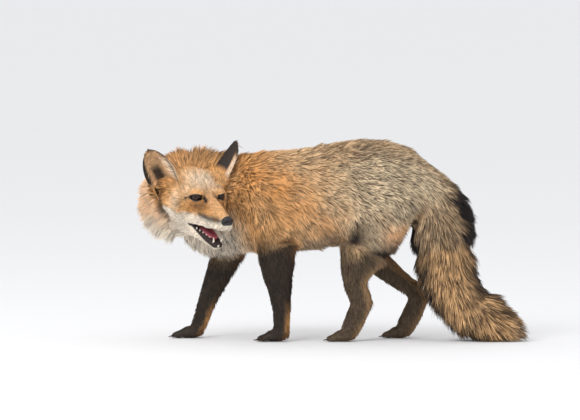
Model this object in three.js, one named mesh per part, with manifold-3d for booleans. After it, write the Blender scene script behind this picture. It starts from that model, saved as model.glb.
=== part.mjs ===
// A red fox at life size, standing in mid step with its head turned back over
// its left shoulder. Millimetres, +Z up. The fox faces -X and its left flank
// faces -Y. Every body is the outline of the coat, out to the tips of the hair.

import * as THREE from 'three';
import { mergeVertices } from 'three/addons/utils/BufferGeometryUtils.js';
import Module from 'manifold-3d';

const wasm = await Module();
wasm.setup();

// ---- driving dimensions -------------------------------------------------

const gap = 0.35;            // clearance between two pieces that touch
const rumpHeight = 418;      // floor to the top of the coat over the hips
const withersHeight = 392;   // floor to the top of the coat over the shoulders
const bellyHeight = 184;     // floor to the hair under the belly
const trunkHalf = 88;        // half the width of the barrel
const stanceHalf = 52;       // a paw's distance from the middle of the body
const eyeSpan = 54;          // between the centres of the eyeballs
const eyeRadius = 11.4;
const earLength = 88;
const earHalf = 32;          // half the widest width of an ear
const earThickness = 4.5;
const earCurl = { base: 1.75, tip: 0.75 };   // radians, from the middle to an edge
const headYaw = 33;          // degrees from -Y towards +X
const headPitch = 12;        // degrees of the head's nod below level
const eyeLine = new THREE.Vector3(-254, -116, 296);   // midway between the eyes
const clawLength = 13;
const clawRadius = 2.1;
const throatClearance = 6;   // between the jaw and the hair of the throat

// ---- helpers --------------------------------------------------------------

const vec = (x, y, z) => new THREE.Vector3(x, y, z);
const alongX = vec(1, 0, 0);
const alongZ = vec(0, 0, 1);
const radians = THREE.MathUtils.degToRad;

// The head's own axes, and a point given along them from the eye line.
const yawed = vec(Math.sin(radians(headYaw)), -Math.cos(radians(headYaw)), 0);
const headLeft = vec(-yawed.y, yawed.x, 0);
const headForward = yawed.clone().multiplyScalar(Math.cos(radians(headPitch)))
  .addScaledVector(alongZ, -Math.sin(radians(headPitch)));
const headUp = headForward.clone().cross(headLeft);

function inHead(forward, left, up) {
  return eyeLine.clone()
    .addScaledVector(headForward, forward)
    .addScaledVector(headLeft, left)
    .addScaledVector(headUp, up);
}

// One section of a sleeve: its middle, its half width across, and how far it
// reaches over and under the middle, towards and away from the "over" side.
function station(at, half, over, under = over) {
  return { at, radii: vec(half, over, under) };
}

// A closed body lofted through its stations along a smooth spine, with a
// rounded cap at each end. "over" is the side that its over radii point to, and
// peak narrows each section towards that side.
function sleeve(stations, over, shape = {}) {
  const { sides = 10, rings = 5, capRings = 2, startCap = 12, endCap = 12, peak = 0, grow = 0 } = shape;
  const spine = new THREE.CatmullRomCurve3(stations.map((s) => s.at));
  const sizes = new THREE.CatmullRomCurve3(stations.map((s) => s.radii));
  const positions = [];
  const index = [];

  function ring(t, scale, shift) {
    const tangent = spine.getTangent(t);
    const side = over.clone().cross(tangent).normalize();
    const lift = tangent.clone().cross(side);
    const middle = spine.getPoint(t).addScaledVector(tangent, shift);
    const size = sizes.getPoint(t);
    for (let k = 0; k < sides; k += 1) {
      const angle = (2 * Math.PI * k) / sides;
      const rise = Math.sin(angle) > 0 ? size.y : size.z;
      const narrow = 1 - peak * Math.max(0, Math.sin(angle));
      const point = middle.clone()
        .addScaledVector(side, Math.cos(angle) * scale * (size.x * narrow + grow))
        .addScaledVector(lift, Math.sin(angle) * scale * (rise + grow));
      positions.push(point.x, point.y, point.z);
    }
  }

  function pole(t, shift) {
    const point = spine.getPoint(t).addScaledVector(spine.getTangent(t), shift);
    positions.push(point.x, point.y, point.z);
    return positions.length / 3 - 1;
  }

  for (let k = capRings; k >= 1; k -= 1) {
    const turn = (k / (capRings + 1)) * (Math.PI / 2);
    ring(0, Math.cos(turn), -Math.sin(turn) * (startCap + grow));
  }
  for (let k = 0; k < rings; k += 1) {
    ring(k / (rings - 1), 1, 0);
  }
  for (let k = 1; k <= capRings; k += 1) {
    const turn = (k / (capRings + 1)) * (Math.PI / 2);
    ring(1, Math.cos(turn), Math.sin(turn) * (endCap + grow));
  }
  const ringCount = rings + 2 * capRings;
  for (let r = 0; r < ringCount - 1; r += 1) {
    for (let k = 0; k < sides; k += 1) {
      const a = r * sides + k;
      const b = r * sides + ((k + 1) % sides);
      index.push(a, b, b + sides, a, b + sides, a + sides);
    }
  }
  const last = (ringCount - 1) * sides;
  const first = pole(0, -(startCap + grow));
  const end = pole(1, endCap + grow);
  for (let k = 0; k < sides; k += 1) {
    const next = (k + 1) % sides;
    index.push(first, next, k);
    index.push(end, last + k, last + next);
  }
  const geometry = new THREE.BufferGeometry();
  geometry.setAttribute('position', new THREE.Float32BufferAttribute(positions, 3));
  geometry.setIndex(index);
  return solid(geometry);
}

// A closed, merged geometry as a solid that can be joined and cut.
function solid(geometry) {
  return new wasm.Manifold(new wasm.Mesh({
    numProp: 3,
    vertProperties: Float32Array.from(geometry.attributes.position.array),
    triVerts: Uint32Array.from(geometry.index.array),
  }));
}

function merged(geometry) {
  geometry.deleteAttribute('normal');
  geometry.deleteAttribute('uv');
  return mergeVertices(geometry);
}

function ball(centre, radius, segments = 12) {
  const sphere = merged(new THREE.SphereGeometry(radius, segments, Math.round(segments * 0.7)));
  sphere.translate(centre.x, centre.y, centre.z);
  return solid(sphere);
}

const joined = (solids) => solids.reduce((whole, one) => whole.add(one));
const without = (whole, ...cutters) => cutters.reduce((left, one) => left.subtract(one), whole);
const aboveFloor = (whole) => whole.trimByPlane([0, 0, 1], 0);

// The two parts of a body on either side of a plane, with the gap between them.
function parted(whole, { at, along }) {
  const offset = at.dot(along);
  const before = whole.trimByPlane(along.clone().negate().toArray(), -(offset - gap / 2));
  const after = whole.trimByPlane(along.toArray(), offset + gap / 2);
  return [before, after];
}

// ---- trunk, neck and tail ---------------------------------------------------

// x, top and bottom of the coat, half width
function trunkSection(x, top, bottom, half) {
  return station(vec(x, 0, (top + bottom) / 2), half, (top - bottom) / 2);
}

const trunkStations = [
  trunkSection(-194, withersHeight - 10, bellyHeight + 2, 68),
  trunkSection(-155, withersHeight, bellyHeight - 10, 80),
  trunkSection(-100, withersHeight + 3, bellyHeight - 6, trunkHalf),
  trunkSection(-40, withersHeight + 9, bellyHeight, trunkHalf),
  trunkSection(20, rumpHeight - 6, bellyHeight + 8, trunkHalf - 3),
  trunkSection(80, rumpHeight + 2, bellyHeight + 26, trunkHalf - 6),
  trunkSection(130, rumpHeight - 5, bellyHeight + 46, trunkHalf - 14),
  trunkSection(178, rumpHeight - 34, bellyHeight + 74, 56),
  trunkSection(216, rumpHeight - 62, bellyHeight + 106, 32),
];
const trunkSplit = -40;

const neckStations = [
  station(vec(-165, 4, 292), 74, 90, 98),
  station(vec(-210, 12, 288), 74, 102, 110),
  station(vec(-252, 18, 286), 75, 110, 118),
  station(vec(-296, 12, 290), 72, 113, 96),
];

// The ruff stands out behind the cheeks, on the outside of the neck's bend.
const ruffStations = [
  station(vec(-308, 0, 292), 80, 106, 84),
  station(vec(-320, -44, 288), 84, 94, 86),
  station(vec(-328, -80, 282), 70, 74, 78),
];

const tailStations = [
  station(vec(190, 0, 334), 26, 30),
  station(vec(203, -2, 312), 46, 54),
  station(vec(213, -4, 277), 60, 71),
  station(vec(221, -8, 225), 66, 76),
  station(vec(229, -12, 170), 63, 72),
  station(vec(243, -17, 125), 58, 64, 68),
  station(vec(272, -24, 82), 56, 60, 67),
  station(vec(312, -32, 50), 56, 58),
  station(vec(350, -40, 30), 46, 46),
  station(vec(378, -45, 14), 28, 28),
];
// The tail is cut into three lengths, each cut square to its axis.
const tailCuts = [
  { at: vec(221, -8, 222), along: vec(0.12, 0, -0.99) },
  { at: vec(284, -26, 72), along: vec(0.74, 0, -0.67) },
];

const trunkShape = (grow) => sleeve(trunkStations, alongZ,
  { sides: 18, rings: 11, startCap: 18, endCap: 10, peak: 0.12, grow });
const neckShape = (grow) => sleeve(neckStations, alongZ,
  { sides: 14, rings: 5, startCap: 12, endCap: 30, peak: 0.4, grow });
const ruffShape = (grow) => sleeve(ruffStations, alongZ,
  { sides: 12, rings: 4, startCap: 52, endCap: 12, peak: 0.1, grow });
const tailShape = (grow) => sleeve(tailStations, alongX,
  { sides: 14, rings: 13, startCap: 10, endCap: 17, grow });

// ---- head -----------------------------------------------------------------

function headSection(forward, middle, half, up, down) {
  return station(inHead(forward, 0, middle), half, up, down);
}

const headStations = [
  headSection(-104, -6, 54, 48, 54),
  headSection(-80, -9, 72, 60, 68),
  headSection(-52, -12, 78, 63, 70),
  headSection(-30, -16, 62, 50, 62),
  headSection(-14, -20, 48, 41, 50),
  headSection(-3, -25, 38, 36, 40),
];

const snoutStations = [
  headSection(-6, -24, 33, 33, 32),
  headSection(15, -26, 26, 30, 29),
  headSection(35, -28, 22, 25, 26),
  headSection(55, -32, 20, 19, 21),
  headSection(76, -35, 15, 12, 15),
];

const jawStations = [
  headSection(-38, -68, 28, 12, 18),
  headSection(-5, -76, 20, 10, 14),
  headSection(25, -82, 15, 8, 11),
  headSection(54, -86, 10, 7, 8),
];

const tongueStations = [
  headSection(-12, -62, 12, 4, 3),
  headSection(15, -68, 11, 4, 3),
  headSection(36, -73, 8, 3, 2.5),
];

const noseStations = [
  headSection(81, -28, 10.5, 8, 8),
  headSection(87, -27, 10, 8, 8),
];

const headShape = (grow) => sleeve(headStations, alongZ,
  { sides: 16, rings: 7, startCap: 12, endCap: 6, grow });
const snoutShape = (grow) => sleeve(snoutStations, alongZ,
  { sides: 12, rings: 5, startCap: 4, endCap: 5, grow });
const jawShape = (grow) => sleeve(jawStations, alongZ,
  { sides: 8, startCap: 5, endCap: 6, grow });
const tongueShape = (grow) => sleeve(tongueStations, alongZ,
  { sides: 8, rings: 4, capRings: 1, startCap: 2, endCap: 4, grow });
const noseShape = (grow) => sleeve(noseStations, alongZ,
  { sides: 10, rings: 2, startCap: 3, endCap: 3, grow });

const headSides = { left: 1, right: -1 };   // along headLeft

function eyeCentre(side) {
  return inHead(-3, (headSides[side] * eyeSpan) / 2, 4.5);
}

// A tooth is a slender cone, sunk into the bone that it grows from.
function tooth(root, direction, length, radius) {
  const cone = merged(new THREE.ConeGeometry(radius, length, 5));
  cone.translate(0, length / 2, 0);
  cone.applyQuaternion(new THREE.Quaternion().setFromUnitVectors(vec(0, 1, 0), direction));
  cone.translate(root.x, root.y, root.z);
  return solid(cone);
}

const canine = { length: 17, radius: 2.6 };
const cheekTooth = { length: 8, radius: 3.2 };

function upperTeeth() {
  const down = headUp.clone().negate();
  return Object.values(headSides).flatMap((side) => [
    tooth(inHead(60, side * 12, -38), down, canine.length, canine.radius),
    tooth(inHead(40, side * 14, -47), down, cheekTooth.length + 3, cheekTooth.radius),
    tooth(inHead(22, side * 16, -49), down, cheekTooth.length + 4, cheekTooth.radius),
  ]);
}

function lowerTeeth() {
  return Object.values(headSides).flatMap((side) => [
    tooth(inHead(46, side * 8, -84), headUp, canine.length, canine.radius),
    tooth(inHead(30, side * 10, -81), headUp, cheekTooth.length + 3, cheekTooth.radius),
    tooth(inHead(12, side * 13, -78), headUp, cheekTooth.length + 3, cheekTooth.radius),
  ]);
}

// The mouth stands open: a wedge cut back into the cheeks to its corner.
const mouthCut = { forward: -16, up: -60, reach: 40, rise: 3, drop: 16, width: 110 };

function mouthWedge() {
  const { reach, rise, drop, width } = mouthCut;
  const outline = new THREE.Shape();
  outline.moveTo(0, 0);
  outline.lineTo(reach, rise);
  outline.lineTo(reach, -drop);
  outline.closePath();
  const wedge = merged(new THREE.ExtrudeGeometry(outline, { depth: width, bevelEnabled: false }));
  wedge.translate(0, 0, -width / 2);
  const axes = new THREE.Matrix4().makeBasis(headForward, headUp, headLeft.clone().negate());
  const place = inHead(mouthCut.forward, 0, mouthCut.up);
  wedge.applyMatrix4(axes.setPosition(place));
  return solid(wedge);
}

// An ear is a cupped leaf: it rises from its base, is widest at a third of its
// length and curls in at both edges, towards the side that its hollow faces.
function ear(base, axis, facing) {
  const rows = 8;
  const columns = 6;
  const across = axis.clone().cross(facing).normalize();
  const positions = [];
  const index = [];

  function halfWidth(u) {
    const swell = 0.8 + 0.75 * u - 0.98 * u * u;
    const tip = Math.sqrt(Math.max(0, 1 - Math.pow(u, 6)));
    return earHalf * swell * tip + 1.2;
  }

  function leaf(u, v, offset) {
    const curl = THREE.MathUtils.lerp(earCurl.base, earCurl.tip, Math.sqrt(u));
    const radius = halfWidth(u) / Math.sin(Math.min(curl, Math.PI / 2));
    const turn = curl * v;
    const outward = across.clone().multiplyScalar(Math.sin(turn))
      .addScaledVector(facing, -Math.cos(turn));
    return base.clone()
      .addScaledVector(axis, earLength * u)
      .addScaledVector(facing, radius)
      .addScaledVector(outward, radius + offset);
  }

  for (const offset of [earThickness / 2, -earThickness / 2]) {
    for (let r = 0; r <= rows; r += 1) {
      for (let c = 0; c <= columns; c += 1) {
        const point = leaf(r / rows, (2 * c) / columns - 1, offset);
        positions.push(point.x, point.y, point.z);
      }
    }
  }
  const stride = columns + 1;
  const sheet = (rows + 1) * stride;
  const quad = (a, b, c, d) => index.push(a, c, b, a, d, c);
  for (let r = 0; r < rows; r += 1) {
    for (let c = 0; c < columns; c += 1) {
      const a = r * stride + c;
      quad(a, a + 1, a + 1 + stride, a + stride);
      quad(sheet + a, sheet + a + stride, sheet + a + 1 + stride, sheet + a + 1);
    }
    const low = r * stride;
    const high = low + columns;
    quad(low, low + stride, sheet + low + stride, sheet + low);
    quad(high, sheet + high, sheet + high + stride, high + stride);
  }
  for (let c = 0; c < columns; c += 1) {
    const top = rows * stride + c;
    quad(c, sheet + c, sheet + c + 1, c + 1);
    quad(top, top + 1, sheet + top + 1, sheet + top);
  }
  const geometry = new THREE.BufferGeometry();
  geometry.setAttribute('position', new THREE.Float32BufferAttribute(positions, 3));
  geometry.setIndex(index);
  return solid(geometry);
}

function turnedAcross(direction, axis) {
  return direction.clone().addScaledVector(axis, -direction.dot(axis)).normalize();
}

const earPlaces = {
  right: { base: inHead(-78, -54, 14), axis: vec(-0.41, -0.46, 0.79), facing: vec(0.1, -0.9, -0.4) },
  left: { base: inHead(-78, 50, 28), axis: vec(0.57, 0.25, 0.78), facing: vec(0.71, 0.31, -0.62) },
};

function earShape(name) {
  const { base, axis, facing } = earPlaces[name];
  const along = axis.clone().normalize();
  return ear(base, along, turnedAcross(facing, along));
}

// ---- legs -----------------------------------------------------------------

// Each leg is given at its joints. "over" is the rear edge of a leg that stands
// upright, and the upper edge of a length that slopes.
const near = -1;   // the fox's left side
const far = 1;     // the fox's right side

const forelegs = {
  left: {
    side: near,
    upper: [
      station(vec(-150, near * 34, 345), 28, 42),
      station(vec(-148, near * 50, 300), 40, 54),
      station(vec(-132, near * 58, 250), 38, 50),
      station(vec(-118, near * 60, 214), 32, 44),
    ],
    lower: [
      station(vec(-116, near * 60, 200), 30, 44),
      station(vec(-115, near * 58, 160), 26, 40),
      station(vec(-111, near * 56, 123), 21, 31),
      station(vec(-107, near * 54, 80), 18, 24, 22),
      station(vec(-105, near * stanceHalf, 26), 17, 20, 18),
    ],
    ball: vec(-113, near * stanceHalf, 14),
    reach: 37,
  },
  right: {
    side: far,
    upper: [
      station(vec(-160, far * 34, 342), 28, 42),
      station(vec(-168, far * 52, 292), 42, 52),
      station(vec(-186, far * 62, 240), 38, 46),
      station(vec(-206, far * 60, 202), 31, 40),
    ],
    lower: [
      station(vec(-212, far * 58, 188), 29, 38),
      station(vec(-224, far * 56, 158), 25, 33),
      station(vec(-241, far * 53, 122), 21, 29, 27),
      station(vec(-258, far * 50, 84), 18, 24, 20),
      station(vec(-276, far * 48, 30), 17, 20, 17),
    ],
    ball: vec(-288, far * 48, 14),
    reach: 38,
  },
};

const hindlegs = {
  left: {
    side: near,
    thigh: [
      station(vec(122, near * 32, 342), 34, 58, 60),
      station(vec(104, near * 48, 290), 44, 72, 76),
      station(vec(80, near * 57, 240), 42, 70, 76),
      station(vec(66, near * 60, 204), 36, 64, 66),
    ],
    shank: [
      station(vec(62, near * 60, 188), 33, 56, 56),
      station(vec(50, near * 60, 160), 27, 42),
      station(vec(45, near * 59, 123), 22, 30, 29),
      station(vec(54, near * 57, 96), 19, 27, 26),
    ],
    shankOver: alongX,
    hock: [
      station(vec(62, near * 56, 92), 18, 24, 24),
      station(vec(47, near * 54, 55), 18, 26, 22),
      station(vec(34, near * stanceHalf, 26), 18, 24, 20),
    ],
    ball: vec(26, near * stanceHalf, 14),
    reach: 34,
  },
  right: {
    side: far,
    thigh: [
      station(vec(122, far * 32, 342), 34, 58, 60),
      station(vec(108, far * 46, 290), 42, 66, 70),
      station(vec(96, far * 54, 236), 38, 52, 58),
      station(vec(86, far * 56, 196), 32, 44, 48),
    ],
    shank: [
      station(vec(80, far * 56, 172), 29, 36, 34),
      station(vec(106, far * 55, 146), 25, 30, 28),
      station(vec(140, far * 53, 119), 21, 24, 23),
      station(vec(170, far * 51, 99), 18, 22, 20),
    ],
    shankOver: alongZ,
    hock: [
      station(vec(180, far * 50, 94), 18, 24, 20),
      station(vec(164, far * 49, 56), 17, 26, 21),
      station(vec(149, far * 47, 26), 18, 24, 20),
    ],
    ball: vec(141, far * 47, 14),
    reach: 34,
  },
};

// A paw is a low pad with four toes fanned out in front of it, flat below.
const toeSpread = [-13.5, -5, 5, 13.5];
const toeReach = [0.8, 1, 1, 0.8];
const toeRadius = 7.2;
const heelOffset = vec(14, 0, 4);

function pad(leg, grow) {
  const heel = leg.ball.clone().add(heelOffset);
  return sleeve([
    station(heel, 17, 13),
    station(leg.ball.clone(), 20, 13, 17),
    station(leg.ball.clone().add(vec(-leg.reach * 0.45, 0, -1)), 18, 10, 15),
  ], alongZ, { rings: 3, capRings: 1, startCap: 9, endCap: 7, grow });
}

function toeTip(leg, k) {
  return leg.ball.clone().add(vec(-leg.reach * toeReach[k], toeSpread[k], -8));
}

function toe(leg, k, grow) {
  const knuckle = leg.ball.clone().add(vec(-leg.reach * toeReach[k] * 0.45, toeSpread[k] * 0.85, -2));
  return sleeve([
    station(knuckle, toeRadius, 9, 9),
    station(toeTip(leg, k), toeRadius - 1, 7.5, 7),
  ], alongZ, { sides: 6, rings: 2, capRings: 1, startCap: 4, endCap: 5, grow });
}

function pawShape(leg, grow) {
  return joined([pad(leg, grow), ...toeSpread.map((_, k) => toe(leg, k, grow))]);
}

function claw(leg, k) {
  const tip = toeTip(leg, k);
  const nail = merged(new THREE.ConeGeometry(clawRadius, clawLength, 4));
  nail.translate(0, clawLength / 2, 0);
  const forward = vec(-1, 0, -0.22).normalize();
  nail.applyQuaternion(new THREE.Quaternion().setFromUnitVectors(vec(0, 1, 0), forward));
  nail.translate(tip.x - 1, tip.y, tip.z - 1);
  return aboveFloor(solid(nail));
}

const limb = (stations, over, grow, shape) => sleeve(stations, over,
  { startCap: 10, endCap: 8, grow, ...shape });

// ---- the model --------------------------------------------------------------

const furFinish = { roughness: 0.95, metalness: 0 };
const finishes = {
  coat_red: { color: 0xb8733a, ...furFinish },
  coat_grizzled: { color: 0x9c8468, ...furFinish },
  coat_pale: { color: 0xd9c8ab, ...furFinish },
  coat_brindled: { color: 0x8d7249, ...furFinish },
  coat_black: { color: 0x2b241f, ...furFinish },
  nose_leather: { color: 0x17161a, roughness: 0.45, metalness: 0 },
  tongue: { color: 0xa45a5c, roughness: 0.4, metalness: 0 },
  eye: { color: 0x5a3312, roughness: 0.08, metalness: 0 },
  claw: { color: 0x2c2622, roughness: 0.5, metalness: 0 },
};

const fox = new THREE.Group();

function addNode(name, finish, body) {
  const mesh = body.getMesh();
  const geometry = new THREE.BufferGeometry();
  geometry.setAttribute('position', new THREE.Float32BufferAttribute(mesh.vertProperties, 3));
  geometry.setIndex(new THREE.Uint32BufferAttribute(mesh.triVerts, 1));
  geometry.computeVertexNormals();
  const piece = new THREE.Mesh(geometry, new THREE.MeshStandardMaterial(finishes[finish]));
  piece.name = name;
  fox.add(piece);
}

// The lengths of a leg, from the body down, as solids grown by a clearance.
const shoulderShape = (leg, grow) => limb(leg.upper, alongX, grow);
const forearmShape = (leg, grow) => limb(leg.lower, alongX, grow, { rings: 6 });
const thighShape = (leg, grow) => limb(leg.thigh, alongX, grow);
const shankShape = (leg, grow) => limb(leg.shank, leg.shankOver, grow);
const hockShape = (leg, grow) => limb(leg.hock, alongX, grow, { rings: 3, capRings: 1 });

function addTrunk() {
  const [chest, loin] = parted(trunkShape(0), { at: vec(trunkSplit, 0, 0), along: alongX });
  addNode('chest', 'coat_red', chest);
  addNode('loin', 'coat_grizzled', loin);
}

function addNeck() {
  const head = [headShape(gap), snoutShape(gap), jawShape(throatClearance)];
  const whole = joined([neckShape(0), ruffShape(0)]);
  addNode('neck', 'coat_red', without(whole, trunkShape(gap), ...head));
}

function addTail() {
  const thighs = Object.values(hindlegs).map((leg) => thighShape(leg, gap));
  const whole = aboveFloor(without(tailShape(0), trunkShape(gap), ...thighs));
  const [base, rest] = parted(whole, tailCuts[0]);
  const [length, tip] = parted(rest, tailCuts[1]);
  addNode('tail_base', 'coat_brindled', base);
  addNode('tail_middle', 'coat_brindled', length);
  addNode('tail_tip', 'coat_brindled', tip);
}

function addHead() {
  const eyes = Object.keys(headSides).map((side) => ball(eyeCentre(side), eyeRadius + gap));
  const mouth = [snoutShape(gap), jawShape(gap), tongueShape(gap), mouthWedge()];
  addNode('head', 'coat_red', without(headShape(0), ...mouth, ...eyes));
  const upper = joined([snoutShape(0), ...upperTeeth()]);
  addNode('snout', 'coat_red', without(upper, noseShape(gap), ...eyes));
  const lower = joined([jawShape(0), ...lowerTeeth()]);
  addNode('lower_jaw', 'coat_pale', without(lower, tongueShape(gap), snoutShape(gap)));
  addNode('tongue', 'tongue', without(tongueShape(0), snoutShape(gap)));
  addNode('nose', 'nose_leather', noseShape(0));
  for (const name of Object.keys(headSides)) {
    addNode(`eye_${name}`, 'eye', ball(eyeCentre(name), eyeRadius));
    const ear = without(earShape(name), headShape(gap), neckShape(gap), ruffShape(gap));
    addNode(`ear_${name}`, 'coat_black', ear);
  }
}

function addPaw(prefix, leg) {
  addNode(`${prefix}_paw`, 'coat_black', aboveFloor(pawShape(leg, 0)));
  toeSpread.forEach((_, k) => {
    addNode(`${prefix}_claw_${k + 1}`, 'claw', without(claw(leg, k), pawShape(leg, gap)));
  });
}

function addForeleg(name, leg) {
  const prefix = `foreleg_${name}`;
  const body = [trunkShape(gap), neckShape(gap)];
  addNode(`${prefix}_upper`, 'coat_red', without(shoulderShape(leg, 0), ...body));
  const above = [...body, shoulderShape(leg, gap)];
  addNode(`${prefix}_lower`, 'coat_black',
    aboveFloor(without(forearmShape(leg, 0), ...above, pawShape(leg, gap))));
  addPaw(prefix, leg);
}

function addHindleg(name, leg) {
  const prefix = `hindleg_${name}`;
  addNode(`${prefix}_thigh`, 'coat_grizzled', without(thighShape(leg, 0), trunkShape(gap)));
  addNode(`${prefix}_shank`, 'coat_black',
    without(shankShape(leg, 0), thighShape(leg, gap), trunkShape(gap)));
  addNode(`${prefix}_hock`, 'coat_black',
    aboveFloor(without(hockShape(leg, 0), shankShape(leg, gap), pawShape(leg, gap))));
  addPaw(prefix, leg);
}

addTrunk();
addNeck();
addTail();
addHead();
Object.entries(forelegs).forEach(([name, leg]) => addForeleg(name, leg));
Object.entries(hindlegs).forEach(([name, leg]) => addHindleg(name, leg));

// The origin is under the middle of the fox's box, on the floor.
const middle = new THREE.Box3().setFromObject(fox).getCenter(vec(0, 0, 0));
fox.position.set(-middle.x, -middle.y, 0);

export default fox;
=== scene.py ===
import math
import bpy
import numpy as np
import openvdb as vdb
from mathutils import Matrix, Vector
from mathutils.bvhtree import BVHTree
from mathutils.kdtree import KDTree


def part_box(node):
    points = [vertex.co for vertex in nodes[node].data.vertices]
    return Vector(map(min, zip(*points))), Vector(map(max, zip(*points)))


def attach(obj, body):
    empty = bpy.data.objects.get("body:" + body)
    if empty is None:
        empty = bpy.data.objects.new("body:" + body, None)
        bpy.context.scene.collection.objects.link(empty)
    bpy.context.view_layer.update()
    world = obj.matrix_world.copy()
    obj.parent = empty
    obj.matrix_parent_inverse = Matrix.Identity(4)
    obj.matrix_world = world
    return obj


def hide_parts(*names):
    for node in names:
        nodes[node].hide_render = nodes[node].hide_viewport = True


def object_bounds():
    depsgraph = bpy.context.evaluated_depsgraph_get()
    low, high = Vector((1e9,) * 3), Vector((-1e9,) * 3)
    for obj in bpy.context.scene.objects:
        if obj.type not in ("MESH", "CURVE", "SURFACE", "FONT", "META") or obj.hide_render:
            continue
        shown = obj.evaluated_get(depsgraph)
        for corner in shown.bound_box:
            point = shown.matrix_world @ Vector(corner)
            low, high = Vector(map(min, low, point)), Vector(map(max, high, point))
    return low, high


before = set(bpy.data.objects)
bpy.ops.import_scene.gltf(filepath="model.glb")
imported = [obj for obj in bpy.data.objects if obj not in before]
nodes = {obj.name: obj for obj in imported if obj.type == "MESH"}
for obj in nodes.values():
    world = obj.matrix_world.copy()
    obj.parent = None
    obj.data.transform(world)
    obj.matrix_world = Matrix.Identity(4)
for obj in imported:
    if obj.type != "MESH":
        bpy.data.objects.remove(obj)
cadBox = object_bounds()
scene = bpy.context.scene
mm = 0.001

# camera, floor and light

studio = {
    "lens": 363.3,
    "sensor": 36.0,
    "distance": 12.0,
    "elevation": 3.0,
    "target": (-0.0858, 0.0424, 0.2665),
    "floorRadius": 60.0,
    "floorColour": (0.90, 0.90, 0.905),
    "skyColour": (0.93, 0.935, 0.95),
    "skyStrength": 0.97,
    "keyEnergy": 95.0,
    "keySize": 2.6,
    "keyPlace": (-2.2, -3.2, 3.4),
    "keyAim": (0, 0, 0.2),
}


def makeStudio():
    print("studio: camera, floor and light")
    target = Vector(studio["target"])
    tilt = math.radians(studio["elevation"])
    camera = bpy.data.objects.new("camera", bpy.data.cameras.new("camera"))
    camera.data.lens = studio["lens"]
    camera.data.sensor_width = studio["sensor"]
    camera.data.clip_end = 200.0
    camera.location = target + studio["distance"] * Vector((0, -math.cos(tilt), math.sin(tilt)))
    camera.rotation_euler = (math.pi / 2 - tilt, 0, 0)
    scene.collection.objects.link(camera)
    scene.camera = camera

    bpy.ops.mesh.primitive_circle_add(vertices=96, radius=studio["floorRadius"], fill_type="NGON")
    floor = bpy.context.object
    floor.name = "floor"
    paint = bpy.data.materials.new("paleFloor")
    paint.use_nodes = True
    shader = paint.node_tree.nodes["Principled BSDF"]
    shader.inputs["Base Color"].default_value = (*studio["floorColour"], 1)
    shader.inputs["Roughness"].default_value = 0.9
    floor.data.materials.append(paint)

    sky = bpy.data.worlds.new("sky")
    sky.use_nodes = True
    light = sky.node_tree.nodes["Background"]
    light.inputs["Color"].default_value = (*studio["skyColour"], 1)
    light.inputs["Strength"].default_value = studio["skyStrength"]
    scene.world = sky

    key = bpy.data.objects.new("key", bpy.data.lights.new("key", "AREA"))
    key.data.energy = studio["keyEnergy"]
    key.data.size = studio["keySize"]
    key.location = studio["keyPlace"]
    aim = Vector(studio["keyAim"]) - Vector(studio["keyPlace"])
    key.rotation_euler = aim.to_track_quat("-Z", "Y").to_euler()
    scene.collection.objects.link(key)
    scene.view_settings.view_transform = "Standard"


# distance fields, from which the skin is made

class Field:
    # values[i, j, k] is the distance at (start + (i, j, k)) * step; below zero is inside
    def __init__(self, values, start, step):
        self.values = values
        self.start = np.array(start)
        self.step = step

    def at(self, points):
        # trilinear reading, held at the border outside the grid
        place = np.asarray(points) / self.step - self.start
        place = np.clip(place, 0, np.array(self.values.shape) - 1.001)
        cell = place.astype(int)
        part = place - cell
        total = 0
        for corner in np.ndindex(2, 2, 2):
            share = np.prod(np.where(corner, part, 1 - part), axis=-1)
            i, j, k = (cell + corner).T
            total = total + share * self.values[i, j, k]
        return total

    def surface(self, adaptivity=0.0):
        grid = vdb.FloatGrid(float(self.values.max()))
        grid.copyFromArray(self.values, ijk=tuple(int(n) for n in self.start))
        grid.transform = vdb.createLinearTransform(voxelSize=self.step)
        points, triangles, quads = grid.convertToPolygons(isovalue=0.0, adaptivity=adaptivity)
        return points, triangles, quads

    def redrawn(self, reach):
        # the same surface with true distances on both sides of it
        points, triangles, quads = self.surface()
        split = np.concatenate([triangles, quads[:, [0, 1, 2]], quads[:, [0, 2, 3]]])
        return surfaceField(points, split, self.step, reach)


def meshArrays(mesh):
    points = np.empty(len(mesh.vertices) * 3, np.float32)
    mesh.vertices.foreach_get("co", points)
    mesh.calc_loop_triangles()
    triangles = np.empty(len(mesh.loop_triangles) * 3, np.int32)
    mesh.loop_triangles.foreach_get("vertices", triangles)
    return points.reshape(-1, 3), triangles.reshape(-1, 3)


def surfaceField(points, triangles, step, reach):
    # distance to a closed surface, true up to reach on both sides of it
    low = np.floor((points.min(0) - reach) / step).astype(int)
    high = np.ceil((points.max(0) + reach) / step).astype(int)
    grid = vdb.FloatGrid.createLevelSetFromPolygons(
        points,
        triangles=triangles.astype(np.uint32),
        transform=vdb.createLinearTransform(voxelSize=step),
        halfWidth=reach / step,
    )
    values = np.empty(high - low + 1, np.float32)
    grid.copyToArray(values, ijk=tuple(int(n) for n in low))
    return Field(values, low, step)


def nodeField(name, step, reach):
    return surfaceField(*meshArrays(nodes[name].data), step, reach)


def smoothLeast(a, b, soft):
    share = np.clip(0.5 + 0.5 * (b - a) / soft, 0, 1)
    return b + (a - b) * share - soft * share * (1 - share)


def smoothMost(a, b, soft):
    return -smoothLeast(-a, -b, soft)


def rise(value, low, high):
    t = np.clip((value - low) / (high - low), 0, 1)
    return t * t * (3 - 2 * t)


def unit(vectors):
    vectors = np.asarray(vectors, float)
    return vectors / np.maximum(np.linalg.norm(vectors, axis=-1, keepdims=True), 1e-9)


def softened(values, rounds):
    for _ in range(rounds):
        for axis in range(3):
            before = np.roll(values, 1, axis)
            after = np.roll(values, -1, axis)
            values = 0.5 * values + 0.25 * (before + after)
    return values


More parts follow.
